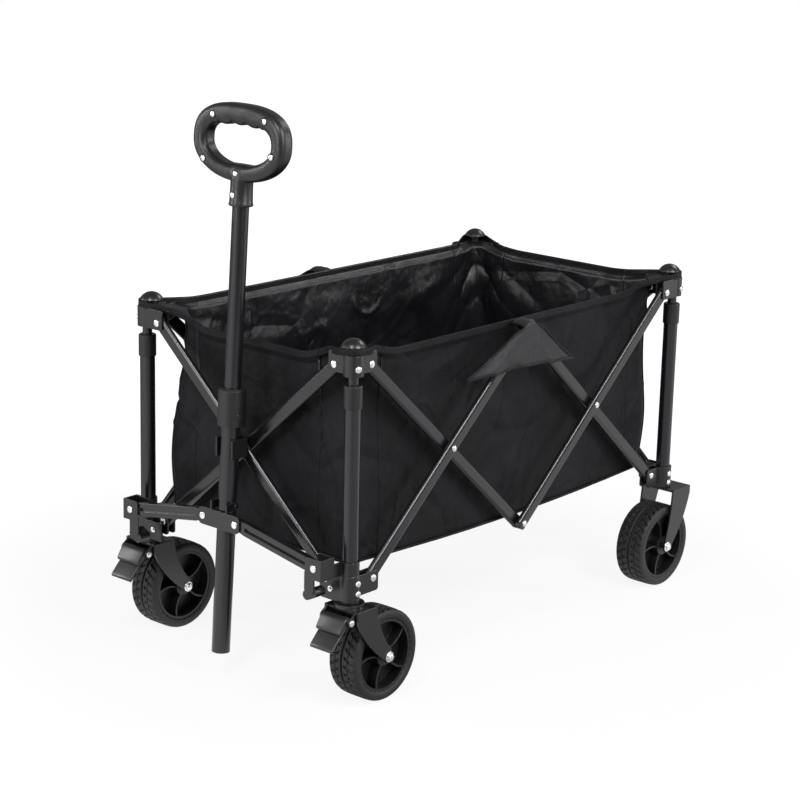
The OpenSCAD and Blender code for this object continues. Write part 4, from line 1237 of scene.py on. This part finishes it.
# Each soft lamp: its name, its place, the point it looks at, its width and height, and its power in watts.
LAMPS = (
    ("side", (0.6, 3.4, 1.7), (0, 0, 0.35), (0.8, 1.8), 42),
    ("front", (3.7, -0.9, 1.5), (0.2, 0, 0.4), (0.8, 1.8), 46),
    ("crown_side", (0.3, 2.5, 2.7), (0, 0.2, 0.35), (1.7, 0.55), 52),
    ("crown_front", (2.3, 0.8, 2.8), (0.45, 0, 0.35), (0.55, 1.0), 40),
    ("top_rear", (-2.4, 0.3, 2.6), (0, 0, 0.4), (1.2, 0.8), 22),
    ("rim_left", (-2.6, 2.6, 1.3), (0, 0, 0.4), (0.5, 1.8), 36),
    ("rim_right", (2.4, -3.0, 1.4), (0.2, 0, 0.5), (0.5, 1.8), 36),
)


def soft_lamp(name, place, aim, size, power):
    """A rectangular area lamp that looks at a point."""
    lamp = bpy.data.lights.new(name, "AREA")
    lamp.shape, lamp.size, lamp.size_y, lamp.energy = "RECTANGLE", size[0], size[1], power
    made = bpy.data.objects.new(name, lamp)
    bpy.context.scene.collection.objects.link(made)
    made.location = place
    made.rotation_euler = (Vector(aim) - Vector(place)).to_track_quat("-Z", "Y").to_euler()


class WAGON_OT_stage(bpy.types.Operator):
    """Lay the pale floor, hang the lamps and place the camera"""

    bl_idname = "wagon.stage"
    bl_label = "Stage"

    def execute(self, context):
        settings, scene = context.scene.wagon_stage, context.scene
        reach = 9
        outline = [(-reach, -reach, 0), (reach, -reach, 0), (reach, reach, 0), (-reach, reach, 0)]
        mesh = bpy.data.meshes.new("floor")
        mesh.from_pydata(outline, [], [(0, 1, 2, 3)])
        floor = bpy.data.objects.new("floor", mesh)
        scene.collection.objects.link(floor)
        mesh.materials.append(self.floor_paint(settings.floor))
        self.world(scene)
        for name, place, aim, size, power in LAMPS:
            soft_lamp(name, place, aim, size, power * settings.light)
        self.camera(scene)
        scene.view_settings.view_transform = "Standard"
        return {"FINISHED"}

    def floor_paint(self, colour):
        """Paint that takes shadows near the wagon and glows white to the camera away from it.

        Glossy rays see it brightest in two directions, ahead and to the rear left. Each gleam grows with the
        cosine between its direction and the place on the floor, as seen from the origin."""
        f = Finish("floor_paint", colour, 0.9, Specular_IOR_Level=0.1)
        rays = f.nodes.new("ShaderNodeLightPath")
        glow = f.nodes.new("ShaderNodeEmission")
        glow.inputs["Strength"].default_value = 1.12
        mixer = f.nodes.new("ShaderNodeMixShader")
        far = f.node("ShaderNodeVectorMath", {"operation": "LENGTH"}, f.place(), output=1)
        white = far.clamped(0.65, 1.5, 0.80, 1.0)
        x, y, _ = f.split(f.place())
        not_zero = far + 0.01
        gleam = ((x * 0.98 - y * 0.18) / not_zero).clamped(0.70, 0.98, 0.05, 1.1)
        gleam = gleam + ((y * 0.64 - x * 0.77) / not_zero).clamped(0.80, 0.98, 0.0, 0.65)
        seen = white * Value(f, rays.outputs["Is Camera Ray"])
        seen = seen + gleam * Value(f, rays.outputs["Is Glossy Ray"])
        f.links.new(seen.socket, mixer.inputs[0])
        f.links.new(f.shader.outputs[0], mixer.inputs[1])
        f.links.new(glow.outputs[0], mixer.inputs[2])
        f.links.new(mixer.outputs[0], f.nodes["Material Output"].inputs["Surface"])
        return f.material

    def world(self, scene):
        """A dim surround that is white to the camera and a quarter as bright to glossy rays."""
        scene.world = bpy.data.worlds.new("surround")
        scene.world.use_nodes = True
        nodes, links = scene.world.node_tree.nodes, scene.world.node_tree.links
        under = nodes["Background"].outputs[0]
        nodes["Background"].inputs["Color"].default_value = (0.93, 0.96, 1.0, 1.0)
        nodes["Background"].inputs["Strength"].default_value = 0.10
        rays = nodes.new("ShaderNodeLightPath")
        for ray, strength in (("Is Glossy Ray", 0.25), ("Is Camera Ray", 1.0)):
            white, mixer = nodes.new("ShaderNodeBackground"), nodes.new("ShaderNodeMixShader")
            white.inputs["Color"].default_value = (1, 1, 1, 1)
            white.inputs["Strength"].default_value = strength
            links.new(rays.outputs[ray], mixer.inputs[0])
            links.new(under, mixer.inputs[1])
            links.new(white.outputs[0], mixer.inputs[2])
            under = mixer.outputs[0]
        links.new(under, nodes["World Output"].inputs["Surface"])

    def camera(self, scene):
        """A long lens at the front left, a little above the wagon, slightly rolled.

        turn is the heading about Z, lift the height angle and roll the tilt of the horizon, in radians."""
        turn, lift, roll = 2.2867180, 0.2622529, 0.0243965
        back = Vector((math.sin(turn) * math.cos(lift), -math.cos(turn) * math.cos(lift), math.sin(lift)))
        right = Vector((math.cos(turn), math.sin(turn), 0.0))
        up = back.cross(right)
        c, s = math.cos(roll), math.sin(roll)
        right, up = right * c + up * s, up * c - right * s
        place = Matrix((right, up, back)).transposed().to_4x4()
        place.translation = Vector((2.8219957, 2.4124621, 1.3695292))
        lens = bpy.data.cameras.new("camera")
        lens.sensor_width, lens.lens = 36.0, 100.080405
        lens.clip_end = 60.0
        made = bpy.data.objects.new("camera", lens)
        scene.collection.objects.link(made)
        made.matrix_world = place
        scene.camera = made


class WAGON_PT_panel(bpy.types.Panel):
    """Lists the wagon's pieces"""

    bl_idname = "WAGON_PT_panel"
    bl_label = "Wagon"
    bl_space_type = "VIEW_3D"
    bl_region_type = "UI"
    bl_category = "Wagon"

    def draw(self, context):
        for step in STEPS:
            self.layout.operator(step.bl_idname)
        for group in GROUPS:
            settings = getattr(context.scene, group)
            for key in settings.__annotations__:
                self.layout.prop(settings, key)


GROUPS = {"wagon_fabric": WagonFabric, "wagon_metal": WagonMetal, "wagon_plastic": WagonPlastic,
          "wagon_stage": WagonStage}
STEPS = (WAGON_OT_finishes, WAGON_OT_walls, WAGON_OT_corners, WAGON_OT_floor, WAGON_OT_flaps, WAGON_OT_rivets,
         WAGON_OT_axles, WAGON_OT_pedals, WAGON_OT_grip, WAGON_OT_tyres, WAGON_OT_stage)


def register():
    for kind in (*GROUPS.values(), *STEPS, WAGON_PT_panel):
        bpy.utils.register_class(kind)
    for name, kind in GROUPS.items():
        setattr(bpy.types.Scene, name, bpy.props.PointerProperty(type=kind))


def unregister():
    for name in GROUPS:
        delattr(bpy.types.Scene, name)
    for kind in reversed((*GROUPS.values(), *STEPS, WAGON_PT_panel)):
        bpy.utils.unregister_class(kind)


def main():
    register()
    for step in STEPS:
        getattr(bpy.ops.wagon, step.bl_idname.split(".")[1])()


if __name__ == "__main__":
    main()
